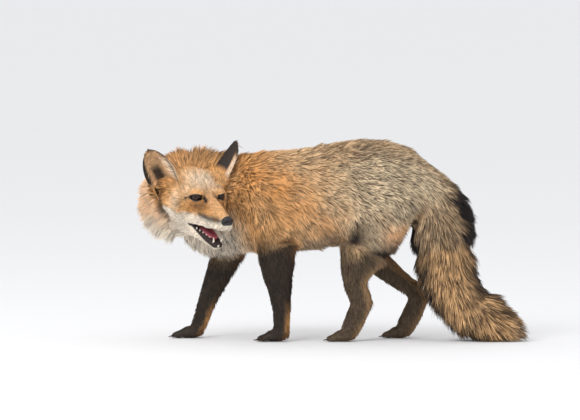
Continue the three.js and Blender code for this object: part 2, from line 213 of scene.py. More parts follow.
def linked(name, mesh):
    piece = bpy.data.objects.new(name, mesh)
    scene.collection.objects.link(piece)
    return piece


def meshPiece(name, points, *faces):
    # faces are arrays, one for each number of corners
    mesh = bpy.data.meshes.new(name)
    mesh.from_pydata(np.asarray(points).tolist(), [], [face for kind in faces for face in kind.tolist()])
    mesh.polygons.foreach_set("use_smooth", [True] * len(mesh.polygons))
    mesh.update()
    return linked(name, mesh)


def keepValue(mesh, name, value):
    # one number for each point, for the materials to read
    mesh.attributes.new(name, "FLOAT", "POINT").data.foreach_set("value", value.astype(np.float32))


def united(pieces, name):
    # one closed surface out of several that cross each other
    body = pieces[0]
    for other in pieces[1:]:
        join = body.modifiers.new("join", "BOOLEAN")
        join.operation = "UNION"
        join.solver = "MANIFOLD"
        join.object = other
        bpy.context.view_layer.objects.active = body
        bpy.ops.object.modifier_apply(modifier=join.name)
        bpy.data.objects.remove(other)
    body.name = name
    body.data.name = name
    return body


# the coat's regions: how deep it lies over the skin and how long its tufts are, in millimetres,
# and which piece has them

sides = ("left", "right")


def limbNodes(limb, *segments):
    return [f"{limb}_{side}_{segment}" for side in sides for segment in segments]


regions = {
    "neck": {"nodes": ["neck"], "depth": 20, "length": 38, "coat": "coat_neck_right"},
    "chest": {"nodes": ["chest"], "depth": 13, "length": 31, "coat": "coat_chest_right"},
    "loin": {"nodes": ["loin"], "depth": 12, "length": 29, "coat": "coat_loin_right"},
    "tailBase": {"nodes": ["tail_base"], "depth": 22, "length": 46, "coat": "coat_tail_upper"},
    "tailMiddle": {"nodes": ["tail_middle"], "depth": 32, "length": 60, "coat": "coat_tail_upper"},
    "tailTip": {"nodes": ["tail_tip"], "depth": 30, "length": 56, "coat": "coat_tail_lower"},
    "foreUpper": {"nodes": limbNodes("foreleg", "upper"), "depth": 9, "length": 22, "coat": "coat_forelegs"},
    "foreLower": {"nodes": limbNodes("foreleg", "lower"), "depth": 5, "length": 12, "coat": "coat_forelegs"},
    "forePaw": {"nodes": limbNodes("foreleg", "paw"), "depth": 3, "length": 7, "coat": "coat_forelegs"},
    "thigh": {"nodes": limbNodes("hindleg", "thigh"), "depth": 11, "length": 27, "coat": "coat_thighs"},
    "shank": {"nodes": limbNodes("hindleg", "shank"), "depth": 6, "length": 15, "coat": "coat_hindlegs"},
    "hock": {"nodes": limbNodes("hindleg", "hock"), "depth": 4, "length": 11, "coat": "coat_hindlegs"},
    "hindPaw": {"nodes": limbNodes("hindleg", "paw"), "depth": 3, "length": 7, "coat": "coat_hindlegs"},
}
skinMaking = {
    "bodyStep": 3.5 * mm,
    "reach": 35 * mm,
    "join": 12 * mm,
    "regionBlend": 8 * mm,
    "coatBlend": 11 * mm,
    "outlineRounds": 2,
    "depthRounds": 4,
    "pawStep": 1.8 * mm,
    "pawReach": 12 * mm,
    "pawDepth": 1.2 * mm,
    "pawThinning": 0.15,
    "headStep": 1.25,
    "headBox": ((-122, -84, -110), (96, 84, 60)),
    "headThinning": 0.02,
    "ruffDepth": (19, 44),
    "ruffEnds": (-100, -28),
    "headSeam": (-10 * mm, 14 * mm),
}
headSolids = ("head", "snout", "lower_jaw")
skinFields = {}


def makeRegionFields():
    print("skin: distances to the solids")
    for region in regions.values():
        step, reach = skinMaking["bodyStep"], skinMaking["reach"]
        region["fields"] = [nodeField(name, step, reach) for name in region["nodes"]]


def regionShares(points):
    # how far each region rules at these points: one column a region, rows adding up to one
    columns = []
    blend = skinMaking["coatBlend"]
    beyond = math.exp(-0.97 * skinMaking["reach"] / blend)
    for region in regions.values():
        nearest = np.min([field.at(points) for field in region["fields"]], axis=0)
        columns.append(np.maximum(np.exp(-nearest / blend) - beyond, 0))
    shares = np.array(columns).T + 1e-6
    return shares / shares.sum(1, keepdims=True)


def overlap(whole, part):
    # the cells that both grids have, as each of them numbers them
    first = part.start - whole.start
    last = first + part.values.shape
    window = tuple(slice(max(a, 0), min(b, n)) for a, b, n in zip(first, last, whole.values.shape))
    return window, tuple(slice(a.start - n, a.stop - n) for a, n in zip(window, first))


def joinedOutline(fields):
    # one closed outline round these solids, with their joints smoothed over
    step, reach = skinMaking["bodyStep"], skinMaking["reach"]
    low = np.floor(np.array(cadBox[0]) / step - reach / step).astype(int)
    high = np.ceil(np.array(cadBox[1]) / step + reach / step).astype(int)
    outline = Field(np.full(high - low + 1, reach, np.float32), low, step)
    for field in fields:
        window, inner = overlap(outline, field)
        joined = smoothLeast(outline.values[window], field.values[inner], skinMaking["join"])
        outline.values[window] = joined
    outline.values = softened(outline.values, skinMaking["outlineRounds"])
    return outline.redrawn(reach)


def depthByFace(outline, window):
    # the ruff deepens towards the face, until the body's skin ends inside the head's own
    axes = [np.arange(part.start, part.stop) + first for part, first in zip(window, outline.start)]
    places = np.stack(np.meshgrid(*axes, indexing="ij"), -1) * outline.step
    low, high = skinMaking["ruffDepth"]
    return (low + (high - low) * rise(toHead(places)[..., 0], *skinMaking["ruffEnds"])) * mm


def makeBodySkin(headFields):
    print("skin: body")
    outline = skinFields["coat"]
    depthSum = np.zeros(outline.values.shape, np.float32)
    shareSum = np.full(outline.values.shape, 1e-4, np.float32)
    parts = [(field, region["depth"]) for region in regions.values() for field in region["fields"]]
    for field, depth in parts + [(field, None) for field in headFields]:
        window, inner = overlap(outline, field)
        share = np.exp(-field.values[inner] / skinMaking["regionBlend"])
        depthSum[window] += share * (depthByFace(outline, window) if depth is None else depth * mm)
        shareSum[window] += share
    depth = softened(depthSum / shareSum, skinMaking["depthRounds"])
    skinFields["body"] = Field(outline.values + depth, outline.start, outline.step)
    return meshPiece("bodySkin", *skinFields["body"].surface())


def makePawSkins():
    print("skin: paws")
    paws = []
    for name in regions["forePaw"]["nodes"] + regions["hindPaw"]["nodes"]:
        field = nodeField(name, skinMaking["pawStep"], skinMaking["pawReach"])
        field.values = softened(field.values, 1) + skinMaking["pawDepth"]
        paws.append(meshPiece(name + "_skin", *field.surface(skinMaking["pawThinning"])))
    return paws


# the head: its own axes, forward, left and up from between the eyes

headTurn = {"yaw": 33.0, "pitch": 12.0, "eyesBack": 3.0, "eyesUp": 4.5}


def boxMiddle(name):
    low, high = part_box(name)
    return np.array((low + high) / 2)


def headAxes():
    yaw, pitch = math.radians(headTurn["yaw"]), math.radians(headTurn["pitch"])
    forward = (math.sin(yaw) * math.cos(pitch), -math.cos(yaw) * math.cos(pitch), -math.sin(pitch))
    left = (math.cos(yaw), math.sin(yaw), 0)
    return np.array([forward, left, np.cross(forward, left)])


headBasis = headAxes()
eyesMiddle = (boxMiddle("eye_left") + boxMiddle("eye_right")) / 2
headPlace = eyesMiddle + (headTurn["eyesBack"] * headBasis[0] - headTurn["eyesUp"] * headBasis[2]) * mm


def toHead(points):
    # millimetres forward, left and up in the head
    return (np.asarray(points) - headPlace) @ headBasis.T / mm


def fromHead(points):
    return np.asarray(points) * mm @ headBasis + headPlace


def ball(p, middle, radii):
    q = (p - middle) / radii
    near = np.linalg.norm(q, axis=-1)
    slope = np.linalg.norm(q / radii, axis=-1)
    return near * (near - 1) / np.maximum(slope, 1e-6)


def fromLine(p, start, end):
    # how far along a line the nearest place on it is, from 0 to 1, and how far away
    start, end = np.array(start, float), np.array(end, float)
    line = end - start
    along = np.clip((p - start) @ line / (line @ line), 0, 1)
    return along, np.linalg.norm(p - start - along[..., None] * line, axis=-1)


def cone(p, start, startRadius, end, endRadius):
    along, gap = fromLine(p, start, end)
    return gap - (startRadius + (endRadius - startRadius) * along)


head = {
    "cranium": ((-62, 0, 8), (44, 35, 31)),
    "forehead": ((-32, 0, 2), (32, 31, 26)),
    "temple": ((-22, 25, 1), (24, 12, 15)),
    "bridge": ((-6, 0, -13), 24, (70, 0, -31), 13),
    "muzzleSide": ((-4, 11, -32), 18, (62, 5.5, -38), 12),
    "lipBack": ((-12, 20, -46), 11.5, (40, 13, -44), 9.5),
    "lipFront": ((40, 13, -44), 9.5, (70, 7, -40), 9),
    "cheek": ((-40, 30, -34), (30, 17, 28)),
    "jowl": ((-44, 37, -14), (32, 26, 31)),
    "cheekbone": ((-16, 28, -11), (26, 8.5, 11)),
    "underEye": ((-18, 29, -12), 9, (20, 18, -18), 8.5),
    "brow": ((-8, 20, 13.5), (15, 9, 2.8)),
    "lidBall": 13.3,
    "jaw": ((-34, 18, -62), 12, (51, 5, -83.5), 7),
    "jawFloor": ((-34, 0, -70), 12, (49, 0, -86), 5.5),
    "mouthCorner": ((-30, 25, -58), (15, 9, 16)),
    "throat": ((-34, 0, -56), 26, (-84, 0, -56), 36),
    "rightEarButt": ((-60, -24, 12), 18, (-78, -48, 12), 10),
    "leftEarButt": ((-60, 24, 14), 17, (-77, 45, 22), 10),
    "upperLip": ((-13, -56), (80, -47)),
    "lowerLip": ((-13, -56), (56, -77)),
    "palate": ((28, 0, -50), (46, 10, 8)),
    "mouthFloor": ((12, 0, -76), (36, 8, 6)),
    "gullet": ((-18, 0, -62), (22, 15, 8)),
    "mouthHalf": 30,
    "lipBand": (5.0, 12.5),
    "lipBandRun": 45,
    "lipBandEnd": 75,
    "bareMouth": 2.6,
    "soft": 9,
    "lipSoft": 5,
}
eye = {
    "place": (-3, 27, 4.5),
    "ball": 11.5,
    "socket": 11.7,
    "outward": 41,
    "upward": 2,
    "tilt": -4,
    "openHalf": 14.6,
    "openRise": 5.9,
    "openDrop": 4.6,
    "openLower": 1.8,
    "openForward": 1.5,
    "rim": 3.4,
    "bulge": 0.045,
    "bulgeHalf": 0.75,
    "rings": 26,
    "spokes": 36,
}


def eyeMiddle(side):
    return np.array(eye["place"]) * (1, side, 1)


def eyeAxes(side):
    # gaze, along the lids towards the ear, and across them
    out, up = math.radians(eye["outward"]), math.radians(eye["upward"])
    gaze = np.array([math.cos(out) * math.cos(up), side * math.sin(out) * math.cos(up), math.sin(up)])
    level = np.cross([0, 0, 1], gaze) * side
    level /= np.linalg.norm(level)
    across = np.cross(gaze, level) * side
    turn = math.radians(eye["tilt"])
    along = level * math.cos(turn) + across * math.sin(turn)
    return gaze, along, across * math.cos(turn) - level * math.sin(turn)


def lidGap(p, side):
    # distance outside the almond between the lids, below zero in it
    gaze, along, across = eyeAxes(side)
    q = p - eyeMiddle(side)
    x, y = q @ along + eye["openForward"], q @ across + eye["openLower"]
    gap = -1e9
    for bow, sign in ((eye["openRise"], 1), (eye["openDrop"], -1)):
        radius = (eye["openHalf"] ** 2 + bow**2) / (2 * bow)
        gap = np.maximum(gap, np.hypot(x, y - sign * (bow - radius)) - radius)
    return np.maximum(gap, -(q @ gaze))


def linePlane(p, start, end):
    # height above a line drawn in the head's side view
    run, climb = end[0] - start[0], end[1] - start[1]
    return ((p[..., 2] - start[1]) * run - (p[..., 0] - start[0]) * climb) / math.hypot(run, climb)


def mouthGap(p):
    # the open wedge between the jaws, with the palate, the gullet and the floor of the mouth
    wedge = smoothMost(linePlane(p, *head["upperLip"]), -linePlane(p, *head["lowerLip"]), 2.0)
    wedge = smoothMost(wedge, np.abs(p[..., 1]) - head["mouthHalf"], 3.0)
    for name in ("palate", "mouthFloor", "gullet"):
        wedge = smoothLeast(wedge, ball(p, *head[name]), 3.0)
    return wedge


def lowerLipBand(p):
    # the bare black lip outside the lower jaw: 1 on it, broader towards the chin
    thin, wide = head["lipBand"]
    below = -linePlane(p, *head["lowerLip"])
    start = head["lowerLip"][0][0]
    width = thin + (wide - thin) * np.clip((p[..., 0] - start) / head["lipBandRun"], 0, 1)
    onJaw = (p[..., 0] > start - 4) & (p[..., 0] < head["lipBandEnd"])
    onJaw &= np.abs(p[..., 1]) < head["mouthHalf"]
    return np.clip((width - below) / 1.5, 0, 1) * (below > -2) * onJaw


def headForm(p):
    # the head before the mouth and the eyes are opened; its left half stands for both
    q = p.copy()
    q[..., 1] = np.abs(q[..., 1])
    soft, lipSoft = head["soft"], head["lipSoft"]
    form = smoothLeast(ball(q, *head["cranium"]), ball(q, *head["forehead"]), soft)
    for name in ("bridge", "muzzleSide", "underEye"):
        form = smoothLeast(form, cone(q, *head[name]), soft)
    for name in ("temple", "cheek", "cheekbone", "jowl"):
        form = smoothLeast(form, ball(q, *head[name]), soft)
    form = smoothLeast(form, ball(q, *head["brow"]), lipSoft)
    for name in ("lipBack", "lipFront"):
        form = smoothLeast(form, cone(q, *head[name]), lipSoft)
    jaw = smoothLeast(cone(q, *head["jaw"]), cone(q, *head["jawFloor"]), lipSoft)
    jaw = smoothLeast(jaw, ball(q, *head["mouthCorner"]), lipSoft)
    form = smoothLeast(form, jaw, lipSoft)
    form = smoothLeast(form, cone(q, *head["throat"]), soft)
    form = smoothLeast(form, cone(p, *head["rightEarButt"]), soft)
    form = smoothLeast(form, cone(p, *head["leftEarButt"]), soft)
    lids = np.linalg.norm(q - np.array(eye["place"]), axis=-1) - head["lidBall"]
    return smoothLeast(form, lids, lipSoft)


def openedHead(p):
    form = smoothMost(headForm(p), -mouthGap(p), 2.0)
    for side in (-1, 1):
        form = np.maximum(form, eye["socket"] - np.linalg.norm(p - eyeMiddle(side), axis=-1))
        form = smoothMost(form, -lidGap(p, side), 1.2)
    return form


def gridOf(form, low, high, step):
    # a form's distances on a grid, worked out layer by layer
    low = np.floor(np.array(low) / step).astype(int)
    high = np.ceil(np.array(high) / step).astype(int)
    layers, *across = [np.arange(a, b + 1, dtype=np.float32) * step for a, b in zip(low, high)]
    values = np.empty((len(layers), len(across[0]), len(across[1])), np.float32)
    for number, layer in enumerate(layers):
        values[number] = form(np.stack(np.meshgrid([layer], *across, indexing="ij"), -1)[0])
    return Field(values, low, step)


def makeHeadSkin():
    print("skin: head")
    form = gridOf(openedHead, *skinMaking["headBox"], skinMaking["headStep"])
    points, *faces = form.surface(skinMaking["headThinning"])
    return meshPiece("headSkin", fromHead(points), *faces)


# ears: thin cupped leaves

earShape = {
    "length": 87.0,
    "half": 31.5,
    "thick": 1.1,
    "curlLow": 1.75,
    "curlHigh": 0.75,
    "rows": 30,
    "columns": 22,
    "start": -0.10,
}
# the base is in the head's axes, the way that the leaf rises and faces in the frame's
ears = {
    "right": {"base": (-78, -54, 14), "axis": (-0.41, -0.46, 0.79), "facing": (0.1, -0.9, -0.4), "front": 1},
    "left": {"base": (-78, 50, 28), "axis": (0.57, 0.25, 0.78), "facing": (0.71, 0.31, -0.62), "front": -1},
}


def earAxes(ear):
    axis = unit(headBasis @ ear["axis"])
    facing = headBasis @ ear["facing"]
    facing = unit(facing - axis * (facing @ axis))
    return axis, facing, np.cross(axis, facing)


def earPoint(ear, u, v, offset):
    # u runs from the base to the tip, v from edge to edge, offset is behind the middle of the leaf
    axis, facing, across = earAxes(ear)
    upper = np.clip(u, 0, 1)
    half = earShape["half"] * (0.80 + 0.75 * upper - 0.98 * upper**2) * np.sqrt(1 - upper**6) + 1.0
    curl = earShape["curlLow"] + (earShape["curlHigh"] - earShape["curlLow"]) * np.sqrt(upper)
    radius = half / np.sin(np.minimum(curl, math.pi / 2))
    turn = curl * v
    outward = np.multiply.outer(np.sin(turn), across) - np.multiply.outer(np.cos(turn), facing)
    middle = np.multiply.outer(earShape["length"] * u, axis) + np.multiply.outer(radius, facing)
    return np.array(ear["base"]) + middle + outward * (radius + offset)[..., None]


def makeEarSkin(name):
    rows, columns = earShape["rows"], earShape["columns"]
    u, v = np.meshgrid(
        np.linspace(earShape["start"], 1, rows + 1), np.linspace(-1, 1, columns + 1), indexing="ij"
    )
    thick = earShape["thick"] * (1 - 0.45 * np.abs(v) ** 3)
    back = earPoint(ears[name], u, v, thick)
    front = earPoint(ears[name], u, v, -thick)
    points = fromHead(np.concatenate([back.reshape(-1, 3), front.reshape(-1, 3)]))
    number = np.arange((rows + 1) * (columns + 1)).reshape(rows + 1, columns + 1)
    far = number + number.size

    def strip(a, b):
        return np.stack([a[:-1], a[1:], b[1:], b[:-1]], -1).reshape(-1, 4)

    quads = [
        np.stack([number[:-1, :-1], number[1:, :-1], number[1:, 1:], number[:-1, 1:]], -1).reshape(-1, 4),
        np.stack([far[:-1, :-1], far[:-1, 1:], far[1:, 1:], far[1:, :-1]], -1).reshape(-1, 4),
        strip(number[0], far[0]),
        strip(far[-1], number[-1]),
        strip(far[:, 0], number[:, 0]),
        strip(number[:, -1], far[:, -1]),
    ]
    return meshPiece(name + "EarSkin", points, np.concatenate(quads))


# markings, read by the skin and by every tuft

def spot(p, middle, radii):
    return np.exp(-(((p - middle) / radii) ** 2).sum(-1))


def nearLine(p, start, end, width):
    return np.exp(-((fromLine(p, start, end)[1] / width) ** 2))


def patches(points, size, seed):
    # slow random waves from -1 to 1
    rng = np.random.default_rng(seed)
    total = np.zeros(len(points))
    for _ in range(9):
        direction = unit(rng.normal(size=3)) * rng.uniform(0.6, 1.6) * 2 * math.pi / size
        total += np.sin(points @ direction + rng.uniform(0, 2 * math.pi))
    return np.clip(total / 3.2, -1, 1)


markNames = ("rust", "grey", "pale", "dark", "tick")


# places along the body, across its side and up it, where marks begin and end, in metres
bodyLook = {
    "waveSize": 0.05,
    "waveSeed": 3,
    "greyFrom": (-0.19, 0.13),
    "shoulderBand": ((-0.150, 0.345), (0.000, 0.225), 0.042),
    "rumpFrom": (0.075, 0.12),
    "rumpTop": (0.235, 0.285),
    "throatTop": (0.222, 0.285),
    "throatBack": (-0.215, -0.165),
    "ruffBack": (-0.33, -0.25),
    "ruffTop": (0.31, 0.37),
    "maneFoot": (0.33, 0.37),
    "maneBack": (-0.25, -0.20),
    "foreStocking": (0.185, 0.245),
    "hindStocking": (0.175, 0.235),
    # where the painted shadow in front of the thigh fades out, backwards and upwards
    "thighShadowReach": ((0.00, 0.10), (0.22, 0.34)),
    "tailBar": 0.026,
    "tailTopEnd": (0.30, 0.36),
    "tailUnderEnd": (0.33, 0.37),
    "tailTip": (0.33, 0.38),
}


class BodyPlaces:
    # what the body's marks depend on; share maps a region's name to how far it rules at each point
    def __init__(self, points, normals, share):
        self.x, self.y, self.z = points.T
        self.side = points[:, [0, 2]]
        self.normals, self.share = normals, share
        self.wave = patches(points, bodyLook["waveSize"], bodyLook["waveSeed"])
        self.top = rise(normals[:, 2], 0.35, 0.85)
        self.trunk = share["chest"] + share["loin"] + share["neck"] + share["thigh"] + share["foreUpper"]
        self.rear = rise(self.x + 0.02 * self.wave, *bodyLook["greyFrom"])
        rump = rise(self.x, *bodyLook["rumpFrom"])
        self.lowRear = rump * (1 - rise(self.z + 0.01 * self.wave, *bodyLook["rumpTop"])) * share["thigh"]


def markTrunk(marks, at):
    # red in front, grizzled behind, parted by a band from the shoulder to the elbow
    share, trunk, rear, top = at.share, at.trunk, at.rear, at.top
    band = nearLine(at.side, *bodyLook["shoulderBand"])
    marks["rust"] = trunk * (0.50 * (1 - rear) + 0.5 * band + 0.35 * top * rise(at.x, -0.1, 0.0))
    marks["rust"] += 0.75 * at.lowRear + 0.30 * (1 - rise(at.z, 0.22, 0.30)) * rear * trunk
    marks["grey"] = trunk * rear * (0.90 - 0.30 * top - 0.3 * band) * (1 - at.lowRear)
    marks["grey"] += 0.35 * (1 - rear) * top * trunk * rise(at.x, -0.2, -0.1)
    marks["tick"] = trunk * (0.34 + 0.12 * at.wave - 0.12 * band - 0.10 * share["chest"] * (1 - rear))
    marks["tick"] += 0.10 * top


def markThroat(marks, at):
    # pale throat, ruff and belly
    share, x, z = at.share, at.x, at.z
    throat = share["neck"] + 0.6 * share["chest"]
    throat = throat * (1 - rise(z + 0.012 * at.wave, *bodyLook["throatTop"]))
    throat *= 1 - rise(x, *bodyLook["throatBack"])
    marks["pale"] += 0.9 * throat
    marks["grey"] += 0.5 * throat
    marks["dark"] += 0.14 * throat
    ruff = share["neck"] * (1 - rise(x, *bodyLook["ruffBack"]))
    marks["pale"] += 0.40 * ruff * (1 - rise(z, *bodyLook["ruffTop"]))
    marks["rust"] += 0.30 * ruff
    marks["tick"] -= 0.22 * ruff
    marks["rust"] *= 1 - 0.8 * throat
    belly = (share["chest"] + share["loin"]) * rise(-at.normals[:, 2], 0.35, 0.8)
    marks["dark"] += 0.45 * belly * rise(x, -0.16, -0.10)
    marks["pale"] += 0.25 * belly


def markLegs(marks, at):
    # dark stockings, grizzled where they start
    share, z = at.share, at.z
    fore = share["foreUpper"] + share["foreLower"] + share["forePaw"]
    hind = share["thigh"] + share["shank"] + share["hock"] + share["hindPaw"]
    back = rise(at.normals[:, 0], 0.1, 0.6)
    foreDark = fore * (1 - rise(z + 0.014 * at.wave, *bodyLook["foreStocking"]))
    higher = 0.03 * rise(at.y, 0.03, 0.06)
    low, high = bodyLook["hindStocking"]
    hindDark = hind * (1 - rise(z + 0.016 * at.wave, low + higher, high + higher))
    buffHeel = 0.55 * back * rise(0.10 - z, 0.0, 0.05) * (1 - share["forePaw"])
    marks["dark"] += 0.97 * foreDark * (1 - buffHeel)
    marks["dark"] += 0.86 * hindDark * (1 - 0.35 * back * (share["shank"] + share["hock"]))
    marks["rust"] += back * (foreDark + 0.6 * hindDark) * 0.8
    marks["grey"] += 0.25 * hindDark


def markHips(marks, at):
    # painted shadow in front of the thigh, the hips, the buff rump below them, and the mane
    share, x, z = at.share, at.x, at.z
    shadowBack, shadowTop = bodyLook["thighShadowReach"]
    # painted shadow: darker and more dark-tipped low on the front of the thigh
    thighShadow = share["thigh"] * (1 - rise(x + 0.01 * at.wave, *shadowBack)) * (1 - rise(z, *shadowTop))
    hips = at.top * at.rear * (share["loin"] + share["thigh"])
    marks["dark"] += 0.85 * thighShadow + 0.25 * share["thigh"] * (1 - at.lowRear) + 0.30 * hips + 0.03 * at.rear
    mane = share["neck"] * rise(z, *bodyLook["maneFoot"]) * (1 - rise(x, *bodyLook["maneBack"]))
    marks["dark"] += 0.12 * mane
    marks["tick"] += 0.20 * mane
    marks["rust"] += 0.25 * at.lowRear + 0.2 * hips
    marks["pale"] += 0.26 * at.lowRear
    marks["tick"] -= 0.45 * at.lowRear
    marks["tick"] += 0.25 * thighShadow


def markTail(marks, at):
    # buff with dark tips, dark along its top and under its end
    share, x, normals, wave = at.share, at.x, at.normals, at.wave
    tail = share["tailBase"] + share["tailMiddle"] + share["tailTip"]
    crest = rise(normals[:, 0] * 0.8 + normals[:, 2] * 0.5 + 0.1 * wave, 0.35, 0.8)
    under = rise(-normals[:, 0] * 0.8 - normals[:, 2] * 0.6 + 0.1 * wave, 0.30, 0.75)
    turns = 2 * math.pi * (at.z + 0.35 * x) / bodyLook["tailBar"]
    bars = rise(np.sin(turns + 5.0 * wave), 0.1, 0.9)
    topEnd = rise(x, *bodyLook["tailTopEnd"])
    marks["rust"] += 0.28 * tail
    marks["grey"] += 0.35 * share["tailBase"] * (1 - crest)
    marks["tick"] += tail * (0.26 + 0.50 * bars)
    marks["dark"] += tail * (0.08 + 0.24 * bars) + 0.34 * share["tailBase"]
    marks["grey"] += 0.12 * tail
    marks["dark"] += tail * (0.80 * crest * (1 - topEnd) + 0.35 * crest * topEnd)
    marks["dark"] += tail * 0.75 * under * (1 - rise(x, *bodyLook["tailUnderEnd"]))
    marks["pale"] += 0.25 * share["tailTip"] * rise(x, *bodyLook["tailTip"])


def bodyMarks(points, normals, share):
    at = BodyPlaces(points, normals, share)
    marks = {name: np.zeros(len(points)) for name in markNames}
    for part in (markTrunk, markThroat, markLegs, markHips, markTail):
        part(marks, at)
    return {name: np.clip(value, 0, 1) for name, value in marks.items()}


# the same in the head's axes; a line is its start, its end and its width
headLook = {
    "waveSize": 0.03,
    "waveSeed": 5,
    "whiteBelow": -30,
    "throatWhite": (62, 74),
    "bridge": (-24, -2),
    "crownBack": (52, 84),
    "foreheadFrost": ((-26, 8, 27), (26, 26, 22)),
    "cheekFrost": ((-27, 34, 4), (18, 14, 12)),
    "jowls": ((42, 50, 12), (30, 28, 32)),
    "underEye": ((-9, -16), (22, 10)),
    "eyeCorners": [
        (1.0, ((-15, -1), (-22, -7), 3.4)),
        (0.8, ((15, -1), (21, -5), 2.6)),
        (0.5, ((21, -5), (34, -18), 2.6)),
    ],
    "whiskerPad": [((18, -28), (42, -30), 5.0), ((42, -30), (76, -27), 6.0)],
}


def headMarks(points):
    p = toHead(points)
    q = p.copy()
    q[:, 1] = np.abs(q[:, 1])
    forward, aside, up = q.T
    wave = patches(points, headLook["waveSize"], headLook["waveSeed"])
    marks = {}
    # the white of the lips, the cheeks and the throat starts well below the eyes
    border = headLook["whiteBelow"] + 0.05 * (forward + 10) + 3 * wave
    border = np.where(forward < -30, border - 0.10 * (forward + 30), border)
    white = rise(border - up, -4, 7)
    white = np.maximum(white, rise(-up, *headLook["throatWhite"]))
    bridge = rise(forward, *headLook["bridge"]) * (1 - white)
    frost = spot(q, *headLook["foreheadFrost"]) + 0.5 * spot(q, *headLook["cheekFrost"])
    crown = rise(-forward, *headLook["crownBack"]) * rise(up, 0, 25)
    # marks around the eye, laid out across its gaze
    gaze, along, across = eyeAxes(1)
    fromEye = q - eye["place"]
    onLids = np.stack([fromEye @ along + eye["openForward"], fromEye @ across + eye["openLower"]], 1)
    ahead = rise(fromEye @ gaze, -24, -12)
    underEye = spot(onLids, *headLook["underEye"]) * ahead
    corners = sum(share * nearLine(onLids, *line) for share, line in headLook["eyeCorners"])
    marks["rust"] = 0.42 + 0.18 * bridge + 0.55 * underEye + 0.75 * crown
    marks["rust"] *= 1 - 0.45 * np.clip(frost, 0, 1)
    marks["pale"] = 0.95 * white + 0.58 * np.clip(frost, 0, 1)
    marks["pale"] += 0.45 * rise(aside, 46, 58) * rise(forward, -45, -20)
    marks["pale"] += 0.10 * bridge * (1 - rise(aside, 8, 20))
    marks["grey"] = 0.35 * rise(-up, 60, 80)
    pad = np.maximum(*[nearLine(q[:, [0, 2]], *line) for line in headLook["whiskerPad"]])
    marks["dark"] = 0.85 * pad * rise(aside, 8, 14) + 0.74 * underEye + 0.95 * corners * ahead
    marks["tick"] = 0.06 + 0.54 * crown + 0.06 * frost + 0.3 * underEye
    return {name: np.clip(marks[name], 0, 1) for name in markNames}


earLook = {
    "darkFrom": 0.16,
    "darkTo": 0.34,
    "darkest": 0.98,
}


def earMarks(u, v, isBack):
    marks = {name: np.zeros(len(u)) for name in markNames}
    edge = rise(-v, 0.88, 0.95) * rise(u, 0.10, 0.28)
    edge += rise(v, 0.93, 1.0) * rise(u, 0.45, 0.6) + rise(u, 0.91, 0.97)
    # painted shade darkens the hollow low inside the ear
    hollowShade = rise(u, 0.02, 0.10) * (1 - rise(u, 0.40, 0.66)) * (1 - rise(np.abs(v + 0.15), 0.15, 0.45))
    inside = np.clip(edge, 0, 1) + 0.8 * hollowShade + 0.13
    marks["dark"] = np.where(isBack, rise(u, earLook["darkFrom"], earLook["darkTo"]), inside)
    front = rise(v, 0.72, 0.86) * (1 - rise(u, 0.55, 0.8))
    marks["dark"] *= 1 - front
    marks["pale"] = np.maximum(np.where(isBack, 0.0, 0.22), 0.6 * front)
    marks["rust"] = np.where(isBack, 0.7, 0.60)
    marks["dark"] = np.clip(marks["dark"], 0, earLook["darkest"])
    return marks


# shader helpers

def linear(code):
    # a colour written as RRGGBB
    parts = [int(code[n:n + 2], 16) / 255 for n in (0, 2, 4)]
    return (*[c / 12.92 if c <= 0.04045 else ((c + 0.055) / 1.055) ** 2.4 for c in parts], 1)


def add(tree, kind, inputs=None, **settings):
    # a node with its settings; an input is either a value or the socket that feeds it
    new = tree.nodes.new(kind)
    for name, value in settings.items():
        setattr(new, name, value)
    for name, value in (inputs or {}).items():
        if isinstance(value, bpy.types.NodeSocket):
            tree.links.new(value, new.inputs[name])
        else:
            new.inputs[name].default_value = value
    return new


def mixColour(tree, share, a, b, blend="MIX"):
    return add(tree, "ShaderNodeMix", {0: share, 6: a, 7: b}, data_type="RGBA", blend_type=blend).outputs[2]


def maths(tree, operation, a, b=0.0, c=0.0, clamp=False):
    inputs = {0: a, 1: b, 2: c}
    return add(tree, "ShaderNodeMath", inputs, operation=operation, use_clamp=clamp).outputs[0]


def ramp(tree, value, low, high):
    inputs = {"Value": value, "From Min": low, "From Max": high}
    return add(tree, "ShaderNodeMapRange", inputs, interpolation_type="SMOOTHSTEP").outputs[0]


def shaderGroup(name, inputs, outputs):
    tree = bpy.data.node_groups.new(name, "ShaderNodeTree")
    for direction, sockets in (("INPUT", inputs), ("OUTPUT", outputs)):
        for label, value in sockets.items():
            kind = "NodeSocketColor" if isinstance(value, tuple) else "NodeSocketFloat"
            socket = tree.interface.new_socket(label, in_out=direction, socket_type=kind)
            if direction == "INPUT":
                socket.default_value = value
    return tree, tree.nodes.new("NodeGroupInput"), tree.nodes.new("NodeGroupOutput")


def material(name, colour, roughness):
    made = bpy.data.materials.new(name)
    made.use_nodes = True
    tree = made.node_tree
    shader = tree.nodes["Principled BSDF"]
    shader.inputs["Base Color"].default_value = colour
    shader.inputs["Roughness"].default_value = roughness
    return made, tree, shader


def attribute(tree, name):
    return add(tree, "ShaderNodeAttribute", attribute_name=name).outputs["Fac"]


def addBump(tree, shader, height, strength, distance):
    bump = add(tree, "ShaderNodeBump", {"Height": height, "Strength": strength, "Distance": distance})
    tree.links.new(bump.outputs[0], shader.inputs["Normal"])


def makeMottle():
    # two shades in soft patches, and the mask between them
    inputs = {"Scale": 140.0, "Detail": 2.0, "First": (1.0, 1.0, 1.0, 1), "Second": (0.5, 0.5, 0.5, 1)}
    tree, given, out = shaderGroup("mottle", inputs, {"Colour": (1, 1, 1, 1), "Mask": 0.0})
    take = given.outputs
    noiseInputs = {
        "Vector": add(tree, "ShaderNodeTexCoord").outputs["Object"],
        "Scale": take["Scale"],
        "Detail": take["Detail"],
    }
    noise = add(tree, "ShaderNodeTexNoise", noiseInputs).outputs["Fac"]
    tree.links.new(mixColour(tree, noise, take["First"], take["Second"]), out.inputs["Colour"])
    tree.links.new(noise, out.inputs["Mask"])
    return tree


